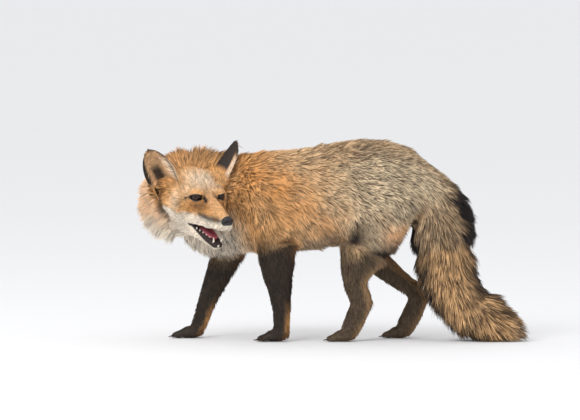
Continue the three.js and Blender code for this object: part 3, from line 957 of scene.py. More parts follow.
def mottledMaterial(name, mottle, look):
    made, tree, shader = material(name, linear(look["first"]), look["roughness"])
    inputs = {
        "Scale": look["scale"],
        "Detail": look.get("detail", 2.0),
        "First": linear(look["first"]),
        "Second": linear(look["second"]),
    }
    patch = add(tree, "ShaderNodeGroup", inputs, node_tree=mottle)
    tree.links.new(patch.outputs["Colour"], shader.inputs["Base Color"])
    return made, tree, shader, patch.outputs["Mask"]


coatColours = {
    "tawny": "E8BC86",
    "rust": "E69F55",
    "cream": "F2DCB8",
    "ash": "8E7662",
    "white": "F4E6D2",
    "soot": "1D1614",
}


def makeCoatColour():
    # the colour of one hair at a place along it
    inputs = {name.capitalize(): 0.0 for name in markNames}
    inputs.update({"Along": 0.6, "Chance": 0.5, "Root Shade": 0.45})
    inputs.update({name.capitalize() + " Colour": linear(code) for name, code in coatColours.items()})
    tree, given, out = shaderGroup("coatColour", inputs, {"Colour": (1, 1, 1, 1)})
    take = given.outputs
    base = mixColour(tree, take["Rust"], take["Tawny Colour"], take["Rust Colour"])
    # grizzled hairs: ash below, a cream band near the end
    lightBand = ramp(tree, take["Along"], 0.35, 0.75)
    grizzle = mixColour(tree, lightBand, take["Ash Colour"], take["Cream Colour"])
    base = mixColour(tree, take["Grey"], base, grizzle)
    base = mixColour(tree, take["Pale"], base, take["White Colour"])
    # some hairs end in a dark tip, whatever lock they are in
    draw = maths(tree, "FRACT", maths(tree, "MULTIPLY", take["Chance"], 17.0))
    hasTip = ramp(tree, maths(tree, "SUBTRACT", take["Tick"], draw), -0.03, 0.05)
    tip = maths(tree, "MULTIPLY", hasTip, ramp(tree, take["Along"], 0.45, 0.72))
    darkness = maths(tree, "MAXIMUM", maths(tree, "MULTIPLY", tip, 0.85), take["Dark"])
    base = mixColour(tree, darkness, base, take["Soot Colour"])
    # painted shade darkens each hair towards its root, standing for the shade between hairs; a painted
    # highlight lightens its outer half; Chance varies each hair's own tone
    shade = ramp(tree, take["Along"], 0.0, 0.55)
    upper = maths(tree, "SUBTRACT", 1.0, take["Root Shade"])
    deep = maths(tree, "MULTIPLY_ADD", shade, upper, take["Root Shade"])
    vary = maths(tree, "MULTIPLY_ADD", take["Chance"], 1.05, 0.48)
    tipHighlight = maths(tree, "MULTIPLY_ADD", ramp(tree, take["Along"], 0.5, 1.0), 0.22, 1.0)
    level = maths(tree, "MULTIPLY", maths(tree, "MULTIPLY", deep, vary), tipHighlight)
    grey = add(tree, "ShaderNodeCombineColor", {0: level, 1: level, 2: level}).outputs[0]
    tree.links.new(mixColour(tree, 1.0, base, grey, "MULTIPLY"), out.inputs["Colour"])
    return tree


# which part of the skin a point lies on

class Coat:
    # everything that the tufts and the skin's colours need to know at a set of points
    def __init__(self, points, normals):
        self.points, self.normals = points, normals
        shares = regionShares(points)
        gap = skinFields["body"].at(points) - headForm(toHead(points)) * mm
        self.onHead = rise(gap, *skinMaking["headSeam"])
        self.share = {name: shares[:, n] * (1 - self.onHead) for n, name in enumerate(regions)}
        self.earU, self.earV, self.earBack, self.onEar = nearestEar(points, normals)
        self.depth = np.maximum(-skinFields["coat"].at(points), 0)
        self.onJowl = spot(np.abs(toHead(points)), *headLook["jowls"]) * self.onHead
        marks = bodyMarks(points, normals, self.share)
        face = headMarks(points)
        ear = earMarks(self.earU, self.earV, self.earBack)
        for name in markNames:
            blend = marks[name] * (1 - self.onHead) + face[name] * self.onHead
            marks[name] = np.clip(blend * (1 - self.onEar) + ear[name] * self.onEar, 0, 1)
        self.marks = marks


earSamples = {"rows": 70, "columns": 50, "candidates": 8, "reach": 6}


def makeEarTree():
    # points all over both ears, to look up where on an ear something lies
    u, v = np.meshgrid(
        np.linspace(-0.1, 1, earSamples["rows"]), np.linspace(-1, 1, earSamples["columns"]), indexing="ij"
    )
    u, v = u.ravel(), v.ravel()
    places, keys = [], []
    for ear in ears.values():
        outward = earPoint(ear, u, v, np.ones(len(u))) - earPoint(ear, u, v, np.zeros(len(u)))
        for behind in (-1, 1):
            places.append(earPoint(ear, u, v, np.full(len(u), behind * earShape["thick"])))
            keys.append(np.column_stack([u, v * ear["front"], np.full(len(u), behind), outward * behind]))
    places, keys = np.concatenate(places), np.concatenate(keys)
    tree = KDTree(len(places))
    for number, place in enumerate(places):
        tree.insert(place, number)
    tree.balance()
    return tree, places, keys


def nearestEar(points, normals):
    tree, places, keys = skinFields["ears"]
    p = toHead(points)
    low, high = places.min(0) - earSamples["reach"], places.max(0) + earSamples["reach"]
    near = np.full(len(p), 99.0)
    found = np.zeros((len(p), 6))
    facing = normals @ headBasis.T
    for number in np.flatnonzero(((p > low) & (p < high)).all(1)):
        candidates = tree.find_n(p[number], earSamples["candidates"])
        scores = [keys[index, 3:] @ facing[number] - 0.5 * gap for _, index, gap in candidates]
        _, index, near[number] = candidates[int(np.argmax(scores))]
        found[number] = keys[index]
    alike = (found[:, 3:] * facing).sum(1)
    onEar = rise(found[:, 0], 0.02, 0.13) * rise(-near, -3.2, -2.0)
    onEar *= np.maximum(rise(alike, 0.1, 0.5), rise(np.abs(found[:, 1]), 0.93, 0.97))
    return found[:, 0], found[:, 1], found[:, 2] > 0, onEar


# the lie of the coat

brush = {
    "middle": [
        (0.190, 0.345), (0.215, 0.277), (0.231, 0.170), (0.274, 0.082), (0.352, 0.030), (0.400, 0.008),
    ],
    "half": 0.065,
    "spread": 0.62,
    "fall": 0.25,
}


def tailLie(points):
    # along the tail and spreading away from its middle line
    side = points[:, [0, 2]]
    line = np.array(brush["middle"])
    best = np.full(len(side), 9.0)
    lie = np.zeros((len(side), 3))
    for start, end in zip(line[:-1], line[1:]):
        run = end - start
        along = np.clip((side - start) @ run / (run @ run), 0, 1)
        off = side - start - along[:, None] * run
        gap = np.linalg.norm(off, axis=1)
        way = unit(run) + brush["spread"] * off / brush["half"] - (0, brush["fall"])
        better = gap < best
        best[better] = gap[better]
        lie[better] = np.stack([way[:, 0], np.zeros(len(way)), way[:, 1]], 1)[better]
    return lie


limbWays = {
    "foreUpper": (0.50, 0, -0.85),
    "foreLower": (0.22, 0, -1),
    "forePaw": (-0.85, 0, -0.5),
    "shank": (0.30, 0, -1),
    "hock": (0.18, 0, -1),
    "hindPaw": (-0.85, 0, -0.5),
}
lieMaking = {
    "aroundHead": (-45, 0, -10),
    "headReach": (0.085, 0.170),
    "fromNose": (104, 0, -14),
    "swirl": 15.0,
    "swirlSize": 0.055,
    "swirlSeed": 11,
}


def bodyLie(coat):
    # backwards and falling over the trunk, out from the face in the ruff, down the legs
    points, share = coat.points, coat.share
    x, z = points[:, 0], points[:, 2]
    front = 1 - rise(x, -0.09, 0.04)
    fall = 0.22 + 0.95 * (1 - rise(z, 0.22, 0.385)) * front
    fall += 0.30 * (1 - rise(z, 0.25, 0.40)) * (1 - front) + 0.75 * rise(x, 0.16, 0.25)
    zero, one = np.zeros(len(x)), np.ones(len(x))
    trunk = np.stack([one, zero, -fall], 1)
    headMiddle = fromHead(lieMaking["aroundHead"])
    fromFace = unit(points - headMiddle)
    byHead = 1 - rise(np.linalg.norm(points - headMiddle, axis=1), *lieMaking["headReach"])
    ways = {
        "neck": trunk * (1 - byHead)[:, None] + (fromFace + (0, 0, -0.45)) * byHead[:, None],
        "chest": trunk,
        "loin": trunk,
        "tailBase": tailLie(points) + (0.15, 0, 0),
        "tailMiddle": tailLie(points),
        "tailTip": tailLie(points),
        "thigh": np.stack([-0.25 + 0.95 * rise(x, 0.015, 0.06), zero, -0.80 * one], 1),
        **limbWays,
    }
    return sum(unit(ways[name]) * share[name][:, None] for name in regions)


def lieOf(coat):
    lie = bodyLie(coat)
    p = toHead(coat.points)
    away = unit(p - lieMaking["fromNose"])
    away[:, 2] -= 0.45 * rise(-p[:, 0], 10, 60) * (1 - rise(p[:, 2], -20, 20))
    away[:, 1] += 1.0 * np.sign(p[:, 1]) * rise(-p[:, 0], 6, 38) * rise(-p[:, 2], -22, 12)
    lie += (unit(away) @ headBasis) * coat.onHead[:, None]
    for ear in ears.values():
        axis, _, across = earAxes(ear)
        sweep = np.where(coat.earBack, 0.0, -0.9 * coat.earV) * ear["front"]
        way = (axis + np.multiply.outer(sweep, across)) @ headBasis
        mine = coat.onEar * (np.sign(p[:, 1]) == np.sign(ear["base"][1]))
        lie = lie * (1 - mine)[:, None] + way * mine[:, None]
    normals = coat.normals
    lie = unit(lie - normals * (lie * normals).sum(1, keepdims=True))
    waves = patches(coat.points, lieMaking["swirlSize"], lieMaking["swirlSeed"])
    swirl = np.radians(lieMaking["swirl"]) * waves * (1 - 0.7 * coat.onHead)
    return lie * np.cos(swirl)[:, None] + np.cross(normals, lie) * np.sin(swirl)[:, None]


# hair lengths in millimetres: on the face, what its back, ruff, nape, crown and chin add, on the ears
# and behind the legs
hairLengths = {
    "face": 6.0,
    "faceBack": 9.0,
    "ruff": 17.0,
    "nape": 14.0,
    "crown": 6.0,
    "chin": 4.0,
    "byEye": 0.62,
    "earBack": 5.0,
    "earFront": 7.0,
    "earTuft": 20.0,
    "feather": 8.0,
    "pastOutline": (1.2, 1.35),
}


def faceLength(coat):
    p = toHead(coat.points)
    longer = hairLengths
    back = rise(-p[:, 0], -20, 62)
    face = longer["face"] + longer["faceBack"] * back
    face += longer["ruff"] * rise(-p[:, 0], 22, 66) * rise(-p[:, 2] + 0.25 * np.abs(p[:, 1]), 4, 40)
    face += longer["nape"] * rise(-p[:, 0], 48, 85) * rise(p[:, 2], -10, 20)
    face += longer["crown"] * rise(-p[:, 0], 10, 40) * rise(p[:, 2], 12, 28)
    face += longer["chin"] * rise(-p[:, 2], 55, 80) * rise(-p[:, 0], -60, 10)
    face = np.maximum(face, longer["pastOutline"][1] * coat.depth / mm * back)
    byEye = np.minimum(lidGap(p, 1), lidGap(p, -1))
    return face * (longer["byEye"] + (1 - longer["byEye"]) * rise(byEye, 2, 13))


def lengthOf(coat):
    length = sum(region["length"] * coat.share[name] for name, region in regions.items())
    length = np.maximum(length, hairLengths["pastOutline"][0] * coat.depth / mm * (1 - coat.onHead))
    length = length + faceLength(coat) * coat.onHead
    inner = rise(coat.earV, 0.30, 0.75) + 0.45 * rise(-coat.earV, 0.3, 0.7)
    front = hairLengths["earFront"] + hairLengths["earTuft"] * inner * (1 - rise(coat.earU, 0.45, 0.92))
    ear = np.where(coat.earBack, hairLengths["earBack"], front)
    length = length * (1 - coat.onEar) + ear * coat.onEar
    behind = rise(coat.normals[:, 0], 0.2, 0.8)
    fringe = coat.share["foreLower"] + coat.share["shank"] + 0.6 * coat.share["hock"]
    return (length + hairLengths["feather"] * behind * fringe) * mm


def growsHair(points):
    # no hair on the lids' rims, the lips, the mouth and the nose
    p = toHead(points)
    bare = (mouthGap(p) < head["bareMouth"]) | (lowerLipBand(p) > 0.6)
    for side in (-1, 1):
        facing = (p - eyeMiddle(side)) @ eyeAxes(side)[0] > 2
        bare |= (lidGap(p, side) < eye["rim"]) & facing
    middle, radii = nose["leather"]
    bare |= ball(p, middle, np.array(radii) + nose["bareRim"]) < 0
    return ~bare


# tufts: closed three-sided blades, each with its place on the skin's own unwrap

coats = {
    "coat_face": {"slot": "coat_pale", "spacing": 1.15, "width": 0.9, "pull": 0.25, "lock": 4},
    "coat_cheeks": {"slot": "coat_red", "spacing": 1.6, "width": 1.5, "pull": 0.40, "lock": 7},
    "coat_ears": {"slot": "coat_black", "spacing": 1.6, "width": 1.3, "pull": 0.25, "lock": 5},
    "coat_neck_right": {"slot": "coat_red", "spacing": 1.9, "width": 1.8, "pull": 0.42, "lock": 10},
    "coat_neck_left": {"slot": "coat_red", "spacing": 2.1, "width": 2.0, "pull": 0.42, "lock": 10},
    "coat_chest_right": {"slot": "coat_red", "spacing": 1.9, "width": 1.8, "pull": 0.40, "lock": 9},
    "coat_chest_left": {"slot": "coat_red", "spacing": 2.1, "width": 2.0, "pull": 0.40, "lock": 9},
    "coat_loin_right": {"slot": "coat_grizzled", "spacing": 1.9, "width": 1.7, "pull": 0.40, "lock": 9},
    "coat_loin_left": {"slot": "coat_grizzled", "spacing": 2.1, "width": 1.9, "pull": 0.40, "lock": 9},
    "coat_thighs": {"slot": "coat_grizzled", "spacing": 1.9, "width": 1.8, "pull": 0.40, "lock": 9},
    "coat_tail_upper": {"slot": "coat_brindled", "spacing": 2.1, "width": 2.1, "pull": 0.42, "lock": 12},
    "coat_tail_lower": {"slot": "coat_brindled", "spacing": 2.1, "width": 2.1, "pull": 0.42, "lock": 12},
    "coat_forelegs": {"slot": "coat_black", "spacing": 2.1, "width": 1.8, "pull": 0.30, "lock": 7},
    "coat_hindlegs": {"slot": "coat_black", "spacing": 2.1, "width": 1.8, "pull": 0.30, "lock": 7},
}
tufts = {
    "mostTriangles": 190000,
    "faceFrom": -32,
    "crowd": 2.4,
    "cell": 1.12,
    "lockWave": 0.023,
    "lockDrift": 0.35,
    "lockShare": 0.5,
    "lockSeedStep": 7,
    "sink": 0.10,
    "earSink": 0.5 * mm,
    "lengthVary": (0.74, 1.16),
    "widthVary": (0.8, 1.2),
    "liftVary": (0.85, 1.1),
    "turn": 9.0,
    "steepest": 0.86,
    "flattest": 0.12,
    "headLift": 0.16,
    "jowlLift": 0.26,
    "earLift": {"back": 0.12, "front": 0.45},
    "reachOut": 1.38,
    "tipLean": 0.55,
    "droop": 0.10,
    "thick": 0.62,
    "round": 0.75,
    "lowest": 0.6 * mm,
    "patch": 0.003,
    "seed": 41,
}
# how far along a blade each of its rings is, and how wide it is there
bladeRings = ((0.0, 0.85), (0.55, 0.8))
brushRings = ((0.0, 0.75), (0.42, 1.0), (0.76, 0.62))


def bodyMiddle(x):
    # where the middle of the body runs, from the neck to the rump
    return np.interp(x, (-0.25, -0.12, 0.20), (0.060, 0.045, 0.040))


def coatOwner(coat):
    # the number of the coat piece that each point belongs to
    names = list(coats)
    p = toHead(coat.points)
    shares = np.array([coat.share[name] for name in regions])
    table = np.array([names.index(region["coat"]) for region in regions.values()])
    owner = table[np.argmax(shares, 0)]
    far = coat.points[:, 1] > bodyMiddle(coat.points[:, 0])
    for name in ("neck", "chest", "loin"):
        right = names.index("coat_" + name + "_right")
        owner[far & (owner == right)] = names.index("coat_" + name + "_left")
    owner[coat.onHead > 0.5] = names.index("coat_cheeks")
    owner[(coat.onHead > 0.5) & (p[:, 0] > tufts["faceFrom"])] = names.index("coat_face")
    owner[coat.onEar > 0.5] = names.index("coat_ears")
    return owner


def skinArrays(skin):
    points, triangles = meshArrays(skin.data)
    normals = np.empty(len(points) * 3, np.float32)
    skin.data.vertices.foreach_get("normal", normals)
    return points.astype(float), triangles, normals.reshape(-1, 3).astype(float)


def cellNumbers(places, size, drift=0.0):
    # one number for each cell of a grid
    cells = np.floor(places / size + drift).astype(np.int64)
    return cells @ np.array([1, 4096, 4096**2])


def scatter(points, triangles, normals, owner, number, spacing, rng):
    # evenly spread places on the faces that belong to one coat piece
    mine = triangles[owner[triangles[:, 0]] == number]
    a, b, c = points[mine[:, 0]], points[mine[:, 1]], points[mine[:, 2]]
    areas = np.linalg.norm(np.cross(b - a, c - a), axis=1) / 2
    count = int(areas.sum() / (spacing * mm) ** 2 * tufts["crowd"])
    face = rng.choice(len(mine), count, p=areas / areas.sum())
    s, t = rng.random(count), rng.random(count)
    s, t = np.where(s + t > 1, 1 - s, s)[:, None], np.where(s + t > 1, 1 - t, t)[:, None]
    places = a[face] + s * (b - a)[face] + t * (c - a)[face]
    n = normals[mine[face]]
    facing = unit(n[:, 0] * (1 - s - t) + n[:, 1] * s + n[:, 2] * t)
    _, first = np.unique(cellNumbers(places, spacing * tufts["cell"] * mm), return_index=True)
    first = np.sort(first)
    return places[first], facing[first]


def lockOf(places, size, seed):
    # which lock each tuft leans into: jittered cells about size across
    drift = np.stack([patches(places, tufts["lockWave"], seed + n) for n in range(3)], 1)
    _, lock = np.unique(cellNumbers(places, size * mm, drift * tufts["lockDrift"]), return_inverse=True)
    return lock


def lockMean(values, lock):
    total = np.zeros((lock.max() + 1, values.shape[1]))
    np.add.at(total, lock, values)
    return (total / np.bincount(lock)[:, None])[lock]


def bladeFaces(rings):
    # one blade's triangles: its closed root, its three sides and its point
    faces = [(0, 1, 2)]
    for ring in range(rings - 1):
        a, b = 3 * ring, 3 * ring + 3
        for corner in range(3):
            after = (corner + 1) % 3
            faces += [(a + corner, b + corner, b + after), (a + corner, b + after, a + after)]
    last = 3 * (rings - 1)
    faces += [(last + corner, 3 * rings, last + (corner + 1) % 3) for corner in range(3)]
    return np.array(faces)


def liftOf(coat, length, rng):
    # how steeply each tuft stands on the skin, to reach the coat's outline
    flattest = tufts["flattest"] + tufts["headLift"] * coat.onHead + tufts["jowlLift"] * coat.onJowl
    lift = np.clip(coat.depth / length * tufts["reachOut"], flattest, tufts["steepest"])
    lift = np.arcsin(lift) * rng.uniform(*tufts["liftVary"], len(length))
    onEars = np.where(coat.earBack, tufts["earLift"]["back"], tufts["earLift"]["front"])
    return np.where(coat.onEar > 0.5, onEars, lift)[:, None]


def growCoat(name, number, skinData, owner, rng):
    style = coats[name]
    rings = brushRings if "tail" in name else bladeRings
    faces = bladeFaces(len(rings))
    places, facing = scatter(*skinData, owner, number, style["spacing"], rng)
    keep = growsHair(places)
    places, facing = places[keep], facing[keep]
    most = tufts["mostTriangles"] // len(faces)
    if len(places) > most:
        chosen = np.sort(rng.choice(len(places), most, replace=False))
        places, facing = places[chosen], facing[chosen]
    coat = Coat(places, facing)
    count = len(places)
    lie = lieOf(coat)
    lock = lockOf(places, style["lock"], number * tufts["lockSeedStep"])
    lockChance = rng.random(lock.max() + 1)[lock]
    chance = tufts["lockShare"] * lockChance + (1 - tufts["lockShare"]) * rng.random(count)

    # each tuft leaves the skin along start, bends over to end, and leans into its lock
    turn = np.radians(rng.normal(0, tufts["turn"], count))[:, None]
    lie = lie * np.cos(turn) + np.cross(facing, lie) * np.sin(turn)
    vary = rng.uniform(*tufts["lengthVary"], count)
    length = lengthOf(coat) * vary
    lift = liftOf(coat, length / vary, rng)
    start = lie * np.cos(lift) + facing * np.sin(lift)
    end = lie * np.cos(lift * tufts["tipLean"]) + facing * np.sin(lift * tufts["tipLean"])
    end[:, 2] -= tufts["droop"]
    root = places - facing * np.where(coat.onEar > 0.3, tufts["earSink"], length * tufts["sink"])[:, None]

    def spine(s):
        return root + length[:, None] * (s * start + 0.5 * s * s * (end - start))

    tip = spine(1.0)
    pull = (lockMean(tip, lock) - tip) * style["pull"]
    across = unit(np.cross(facing, lie))
    half = style["width"] * mm / 2 * rng.uniform(*tufts["widthVary"], count)[:, None]
    vertices = np.empty((count, 3 * len(rings) + 1, 3))
    bend = np.empty_like(vertices)
    for ring, (s, wide) in enumerate(rings):
        middle = spine(s) + pull * s**1.5
        for corner, (aside, up) in enumerate(((1, 0), (-1, 0), (0, 1))):
            index = 3 * ring + corner
            vertices[:, index] = middle + half * wide * (aside * across + 2 * up * tufts["thick"] * facing)
            bend[:, index] = facing * tufts["round"] + aside * across * tufts["round"] + up * facing * 0.3
    vertices[:, -1] = tip + pull
    bend[:, -1] = facing
    vertices[:, :, 2] = np.maximum(vertices[:, :, 2], tufts["lowest"])

    one = vertices[0][faces]
    if np.einsum("ij,ij->", one[:, 0], np.cross(one[:, 1], one[:, 2])) < 0:
        faces = faces[:, ::-1]
    return {
        "name": name,
        "coat": coat,
        "vertices": vertices,
        "bend": bend,
        "faces": (faces[None] + np.arange(count)[:, None, None] * vertices.shape[1]).reshape(-1, 3),
        "stops": [s for s, wide in rings],
        "chance": chance,
    }


unwrapping = {"kept": 0.045, "angle": 66.0, "margin": 0.004}


def unwrapOf(skin):
    # a light copy of the skin, unwrapped once: each tuft gets its place on it
    print("coat: unwrap of the skin")
    light = skin.copy()
    light.data = skin.data.copy()
    scene.collection.objects.link(light)
    cut = light.modifiers.new("lighter", "DECIMATE")
    cut.ratio = unwrapping["kept"]
    bpy.context.view_layer.objects.active = light
    bpy.ops.object.modifier_apply(modifier=cut.name)
    bpy.ops.object.select_all(action="DESELECT")
    light.select_set(True)
    bpy.ops.object.mode_set(mode="EDIT")
    bpy.ops.mesh.select_all(action="SELECT")
    angle = math.radians(unwrapping["angle"])
    bpy.ops.uv.smart_project(angle_limit=angle, island_margin=unwrapping["margin"])
    bpy.ops.object.mode_set(mode="OBJECT")
    mesh = light.data
    points, triangles = meshArrays(mesh)
    loops = np.empty(len(mesh.loop_triangles) * 3, np.int32)
    mesh.loop_triangles.foreach_get("loops", loops)
    places = np.empty(len(mesh.loops) * 2, np.float32)
    mesh.uv_layers.active.data.foreach_get("uv", places)
    corners = places.reshape(-1, 2)[loops].reshape(-1, 3, 2)
    tree = BVHTree.FromPolygons(points.tolist(), triangles.tolist())
    bpy.data.objects.remove(light)
    return tree, points[triangles], corners


def unwrapAt(unwrap, places):
    tree, triangles, corners = unwrap
    found = [tree.find_nearest(place)[0::2][:2] for place in places.tolist()]
    face = np.array([index for _, index in found])
    touch = np.array([tuple(place) for place, _ in found])
    a, b, c = triangles[face].transpose(1, 0, 2)
    whole = np.cross(b - a, c - a)
    size = np.maximum((whole * whole).sum(1), 1e-18)
    first = (np.cross(c - b, touch - b) * whole).sum(1) / size
    second = (np.cross(a - c, touch - c) * whole).sum(1) / size
    weights = np.clip(np.stack([first, second, 1 - first - second], 1), 0, 1)
    return (corners[face] * weights[:, :, None]).sum(1) / weights.sum(1, keepdims=True)


def makeCoatPiece(grown, unwrap, paint):
    vertices, faces, coat = grown["vertices"], grown["faces"], grown["coat"]
    count, each = vertices.shape[:2]
    mesh = bpy.data.meshes.new(grown["name"])
    mesh.vertices.add(count * each)
    mesh.vertices.foreach_set("co", vertices.ravel())
    mesh.loops.add(faces.size)
    mesh.loops.foreach_set("vertex_index", faces.ravel())
    mesh.polygons.add(len(faces))
    mesh.polygons.foreach_set("loop_start", np.arange(len(faces)) * 3)
    mesh.polygons.foreach_set("use_smooth", np.ones(len(faces), bool))
    mesh.update(calc_edges=True)
    mesh.validate()

    along = np.append(np.repeat(grown["stops"], 3), 1.0)
    values = {"along": np.tile(along, count), "chance": np.repeat(grown["chance"], each)}
    for name in markNames:
        values[name] = np.repeat(coat.marks[name], each)
    for name, value in values.items():
        keepValue(mesh, name, value)

    across = np.append(np.tile([1.0, 0.0, 0.5], len(grown["stops"])), 0.5)
    patch = np.stack([across, along], 1) - 0.5
    home = np.clip(unwrapAt(unwrap, coat.points), tufts["patch"], 1 - tufts["patch"])
    spots = (home[:, None] + patch[None] * tufts["patch"]).reshape(-1, 2)
    layer = mesh.uv_layers.new(name="OFBake")
    layer.data.foreach_set("uv", spots[faces.ravel()].astype(np.float32).ravel())
    mesh.normals_split_custom_set_from_vertices(unit(grown["bend"]).reshape(-1, 3))
    mesh.materials.append(paint)
    piece = linked(grown["name"], mesh)
    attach(piece, "root")


def makeCoatMaterial(group):
    made, tree, shader = material("coat", (0.5, 0.4, 0.3, 1), 0.55)
    given = {name.capitalize(): attribute(tree, name) for name in markNames}
    given.update({name.capitalize(): attribute(tree, name) for name in ("along", "chance")})
    given["Root Shade"] = 0.30
    hair = add(tree, "ShaderNodeGroup", given, node_tree=group)
    tree.links.new(hair.outputs["Colour"], shader.inputs["Base Color"])
    shader.inputs["Specular IOR Level"].default_value = 0.35
    return made


skinLook = {
    "lid": "1E1512",
    "lip": "2A1B1A",
    "mouth": "94464C",
    "lipDepth": (-4.5, -2.5),
    "mouthRim": (1.6, 3.2),
}


def makeSkinMaterial(group):
    made, tree, shader = material("skin", (0.5, 0.4, 0.3, 1), 0.7)
    given = {name.capitalize(): attribute(tree, name) for name in markNames}
    place = add(tree, "ShaderNodeTexCoord").outputs["Object"]
    noise = add(tree, "ShaderNodeTexNoise", {"Vector": place, "Scale": 520.0, "Detail": 3.0})
    # the skin takes the colour low on a hair, darkened by the same painted root shade
    given.update({"Along": 0.42, "Chance": noise.outputs["Fac"], "Root Shade": 0.45})
    colour = add(tree, "ShaderNodeGroup", given, node_tree=group).outputs["Colour"]
    for name in ("lid", "lip", "mouth"):
        colour = mixColour(tree, attribute(tree, name), colour, linear(skinLook[name]))
    tree.links.new(colour, shader.inputs["Base Color"])
    wet = maths(tree, "MAXIMUM", attribute(tree, "mouth"), attribute(tree, "lid"))
    tree.links.new(maths(tree, "MULTIPLY_ADD", wet, -0.4, 0.72), shader.inputs["Roughness"])
    addBump(tree, shader, noise.outputs["Fac"], 0.5, 0.001)
    return made


def paintSkin(skin, skinData, coat, paint):
    points = skinData[0]
    p = toHead(points)
    lid = np.zeros(len(p))
    for side in (-1, 1):
        ahead = (p - eyeMiddle(side)) @ eyeAxes(side)[0] > 1
        lid = np.maximum(lid, (1 - rise(lidGap(p, side), eye["rim"] - 1, eye["rim"])) * ahead)
    near = 1 - rise(mouthGap(p), *skinLook["mouthRim"])
    outside = rise(headForm(p), *skinLook["lipDepth"])
    values = dict(coat.marks)
    values["lid"] = lid
    values["lip"] = np.maximum(near * outside, lowerLipBand(p) * outside)
    values["mouth"] = near * (1 - outside)
    for name, value in values.items():
        keepValue(skin.data, name, value)
    skin.data.materials.clear()
    skin.data.materials.append(paint)


# eyes

eyeLook = {
    "iris": 0.62,
    "pupil": 0.30,
    "irisInner": "4A2814",
    "irisOuter": "1A0D07",
    "white": "0C0705",
    "pupilColour": (0.002, 0.002, 0.002, 1),
    "edge": 0.03,
    "streaks": 0.5,
}


def makeEye(name, side, paint):
    radius, rings, spokes = eye["ball"], eye["rings"], eye["spokes"]
    angles = np.linspace(0, math.pi, rings + 1)
    turns = np.arange(spokes) / spokes * 2 * math.pi
    angle, turn = np.meshgrid(angles[1:-1], turns, indexing="ij")
    bulge = 1 + eye["bulge"] * np.cos(np.minimum(angle / eye["bulgeHalf"], 1) * math.pi / 2) ** 1.5
    local = np.stack([np.cos(angle), np.sin(angle) * np.cos(turn), np.sin(angle) * np.sin(turn)], -1)
    local = (local * (radius * bulge)[..., None]).reshape(-1, 3)
    local = np.concatenate([[[radius * (1 + eye["bulge"]), 0, 0]], local, [[-radius, 0, 0]]])
    points = fromHead(eyeMiddle(side) + local @ np.array(eyeAxes(side)))
    number = 1 + np.arange((rings - 1) * spokes).reshape(rings - 1, spokes)
    after = np.roll(number, -1, 1)
    quads = np.stack([number[:-1], number[1:], after[1:], after[:-1]], -1).reshape(-1, 4)
    caps = np.concatenate([
        np.stack([np.zeros(spokes, int), number[0], after[0]], 1),
        np.stack([np.full(spokes, len(points) - 1), after[-1], number[-1]], 1),
    ])
    if side < 0:
        quads, caps = quads[:, ::-1], caps[:, ::-1]
    piece = meshPiece(name, points, quads, caps)
    wide = np.arccos(np.clip(local[:, 0] / np.linalg.norm(local, axis=1), -1, 1))
    keepValue(piece.data, "wide", wide)
    piece.data.materials.append(paint)
    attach(piece, "root")
    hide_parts({1: "eye_left", -1: "eye_right"}[side])


def makeEyeMaterial():
    made, tree, shader = material("eyeball", (0.1, 0.05, 0.02, 1), 0.08)
    wide = attribute(tree, "wide")
    place = add(tree, "ShaderNodeTexCoord").outputs["Object"]
    streak = add(tree, "ShaderNodeTexNoise", {"Vector": place, "Scale": 900.0, "Detail": 2.0}).outputs["Fac"]
    outward = ramp(tree, wide, eyeLook["pupil"], eyeLook["iris"])
    streaks = maths(tree, "MULTIPLY_ADD", streak, eyeLook["streaks"], -eyeLook["streaks"] / 2)
    mixed = maths(tree, "ADD", outward, streaks, clamp=True)
    colour = mixColour(tree, mixed, linear(eyeLook["irisInner"]), linear(eyeLook["irisOuter"]))
    edge = eyeLook["edge"]
    pupil = ramp(tree, wide, eyeLook["pupil"] + edge, eyeLook["pupil"] - edge)
    white = ramp(tree, wide, eyeLook["iris"] - edge, eyeLook["iris"] + 0.05)
    colour = mixColour(tree, white, colour, linear(eyeLook["white"]))
    colour = mixColour(tree, pupil, colour, eyeLook["pupilColour"])
    tree.links.new(colour, shader.inputs["Base Color"])
    shader.inputs["Specular IOR Level"].default_value = 0.2
    shader.inputs["Coat Weight"].default_value = 0.3
    shader.inputs["Coat Roughness"].default_value = 0.02
    return made


# nose leather

nose = {
    "leather": ((81, 0, -26), (9, 11.5, 9.5)),
    "wing": ((78, 7, -29.5), (8, 5.2, 7.5)),
    "pad": ((75, 0, -31), (8, 8.5, 9)),
    "nostril": ((90, 5.0, -26), (5, 2.6, 2.4)),
    "slit": ((87.5, 6.4, -27), 1.6, (80, 12, -31.5), 0.9),
    "groove": ((91, 0, -27), 0.7, (85, 0, -40), 0.7),
    "box": ((60, -16, -46), (97, 16, -10)),
    "step": 0.6,
    "bareRim": 1.5,
    "look": {"first": "0E0C0D", "second": "2A2526", "roughness": 0.34, "scale": 160.0},
    "grain": 900.0,
}


def noseForm(p):
    q = p.copy()
    q[..., 1] = np.abs(q[..., 1])
    form = smoothLeast(ball(q, *nose["leather"]), ball(q, *nose["wing"]), 2.5)
    form = smoothLeast(form, ball(q, *nose["pad"]), 2.5)
    form = smoothMost(form, -ball(q, *nose["nostril"]), 1.2)
    form = smoothMost(form, -cone(q, *nose["slit"]), 1.0)
    return smoothMost(form, -cone(q, *nose["groove"]), 1.0)


def makeNose(mottle):
    print("head: nose")
    points, *faces = gridOf(noseForm, *nose["box"], nose["step"]).surface()
    piece = meshPiece("nose_leather", fromHead(points), *faces)
    made, tree, shader, mask = mottledMaterial("noseLeather", mottle, nose["look"])
    place = add(tree, "ShaderNodeTexCoord").outputs["Object"]
    cells = add(tree, "ShaderNodeTexVoronoi", {"Vector": place, "Scale": nose["grain"]})
    tree.links.new(maths(tree, "MULTIPLY_ADD", mask, 0.3, 0.22), shader.inputs["Roughness"])
    addBump(tree, shader, cells.outputs["Distance"], 0.5, 0.0006)
    piece.data.materials.append(made)
    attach(piece, "root")
    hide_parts("nose")


# mouth: teeth and tongue

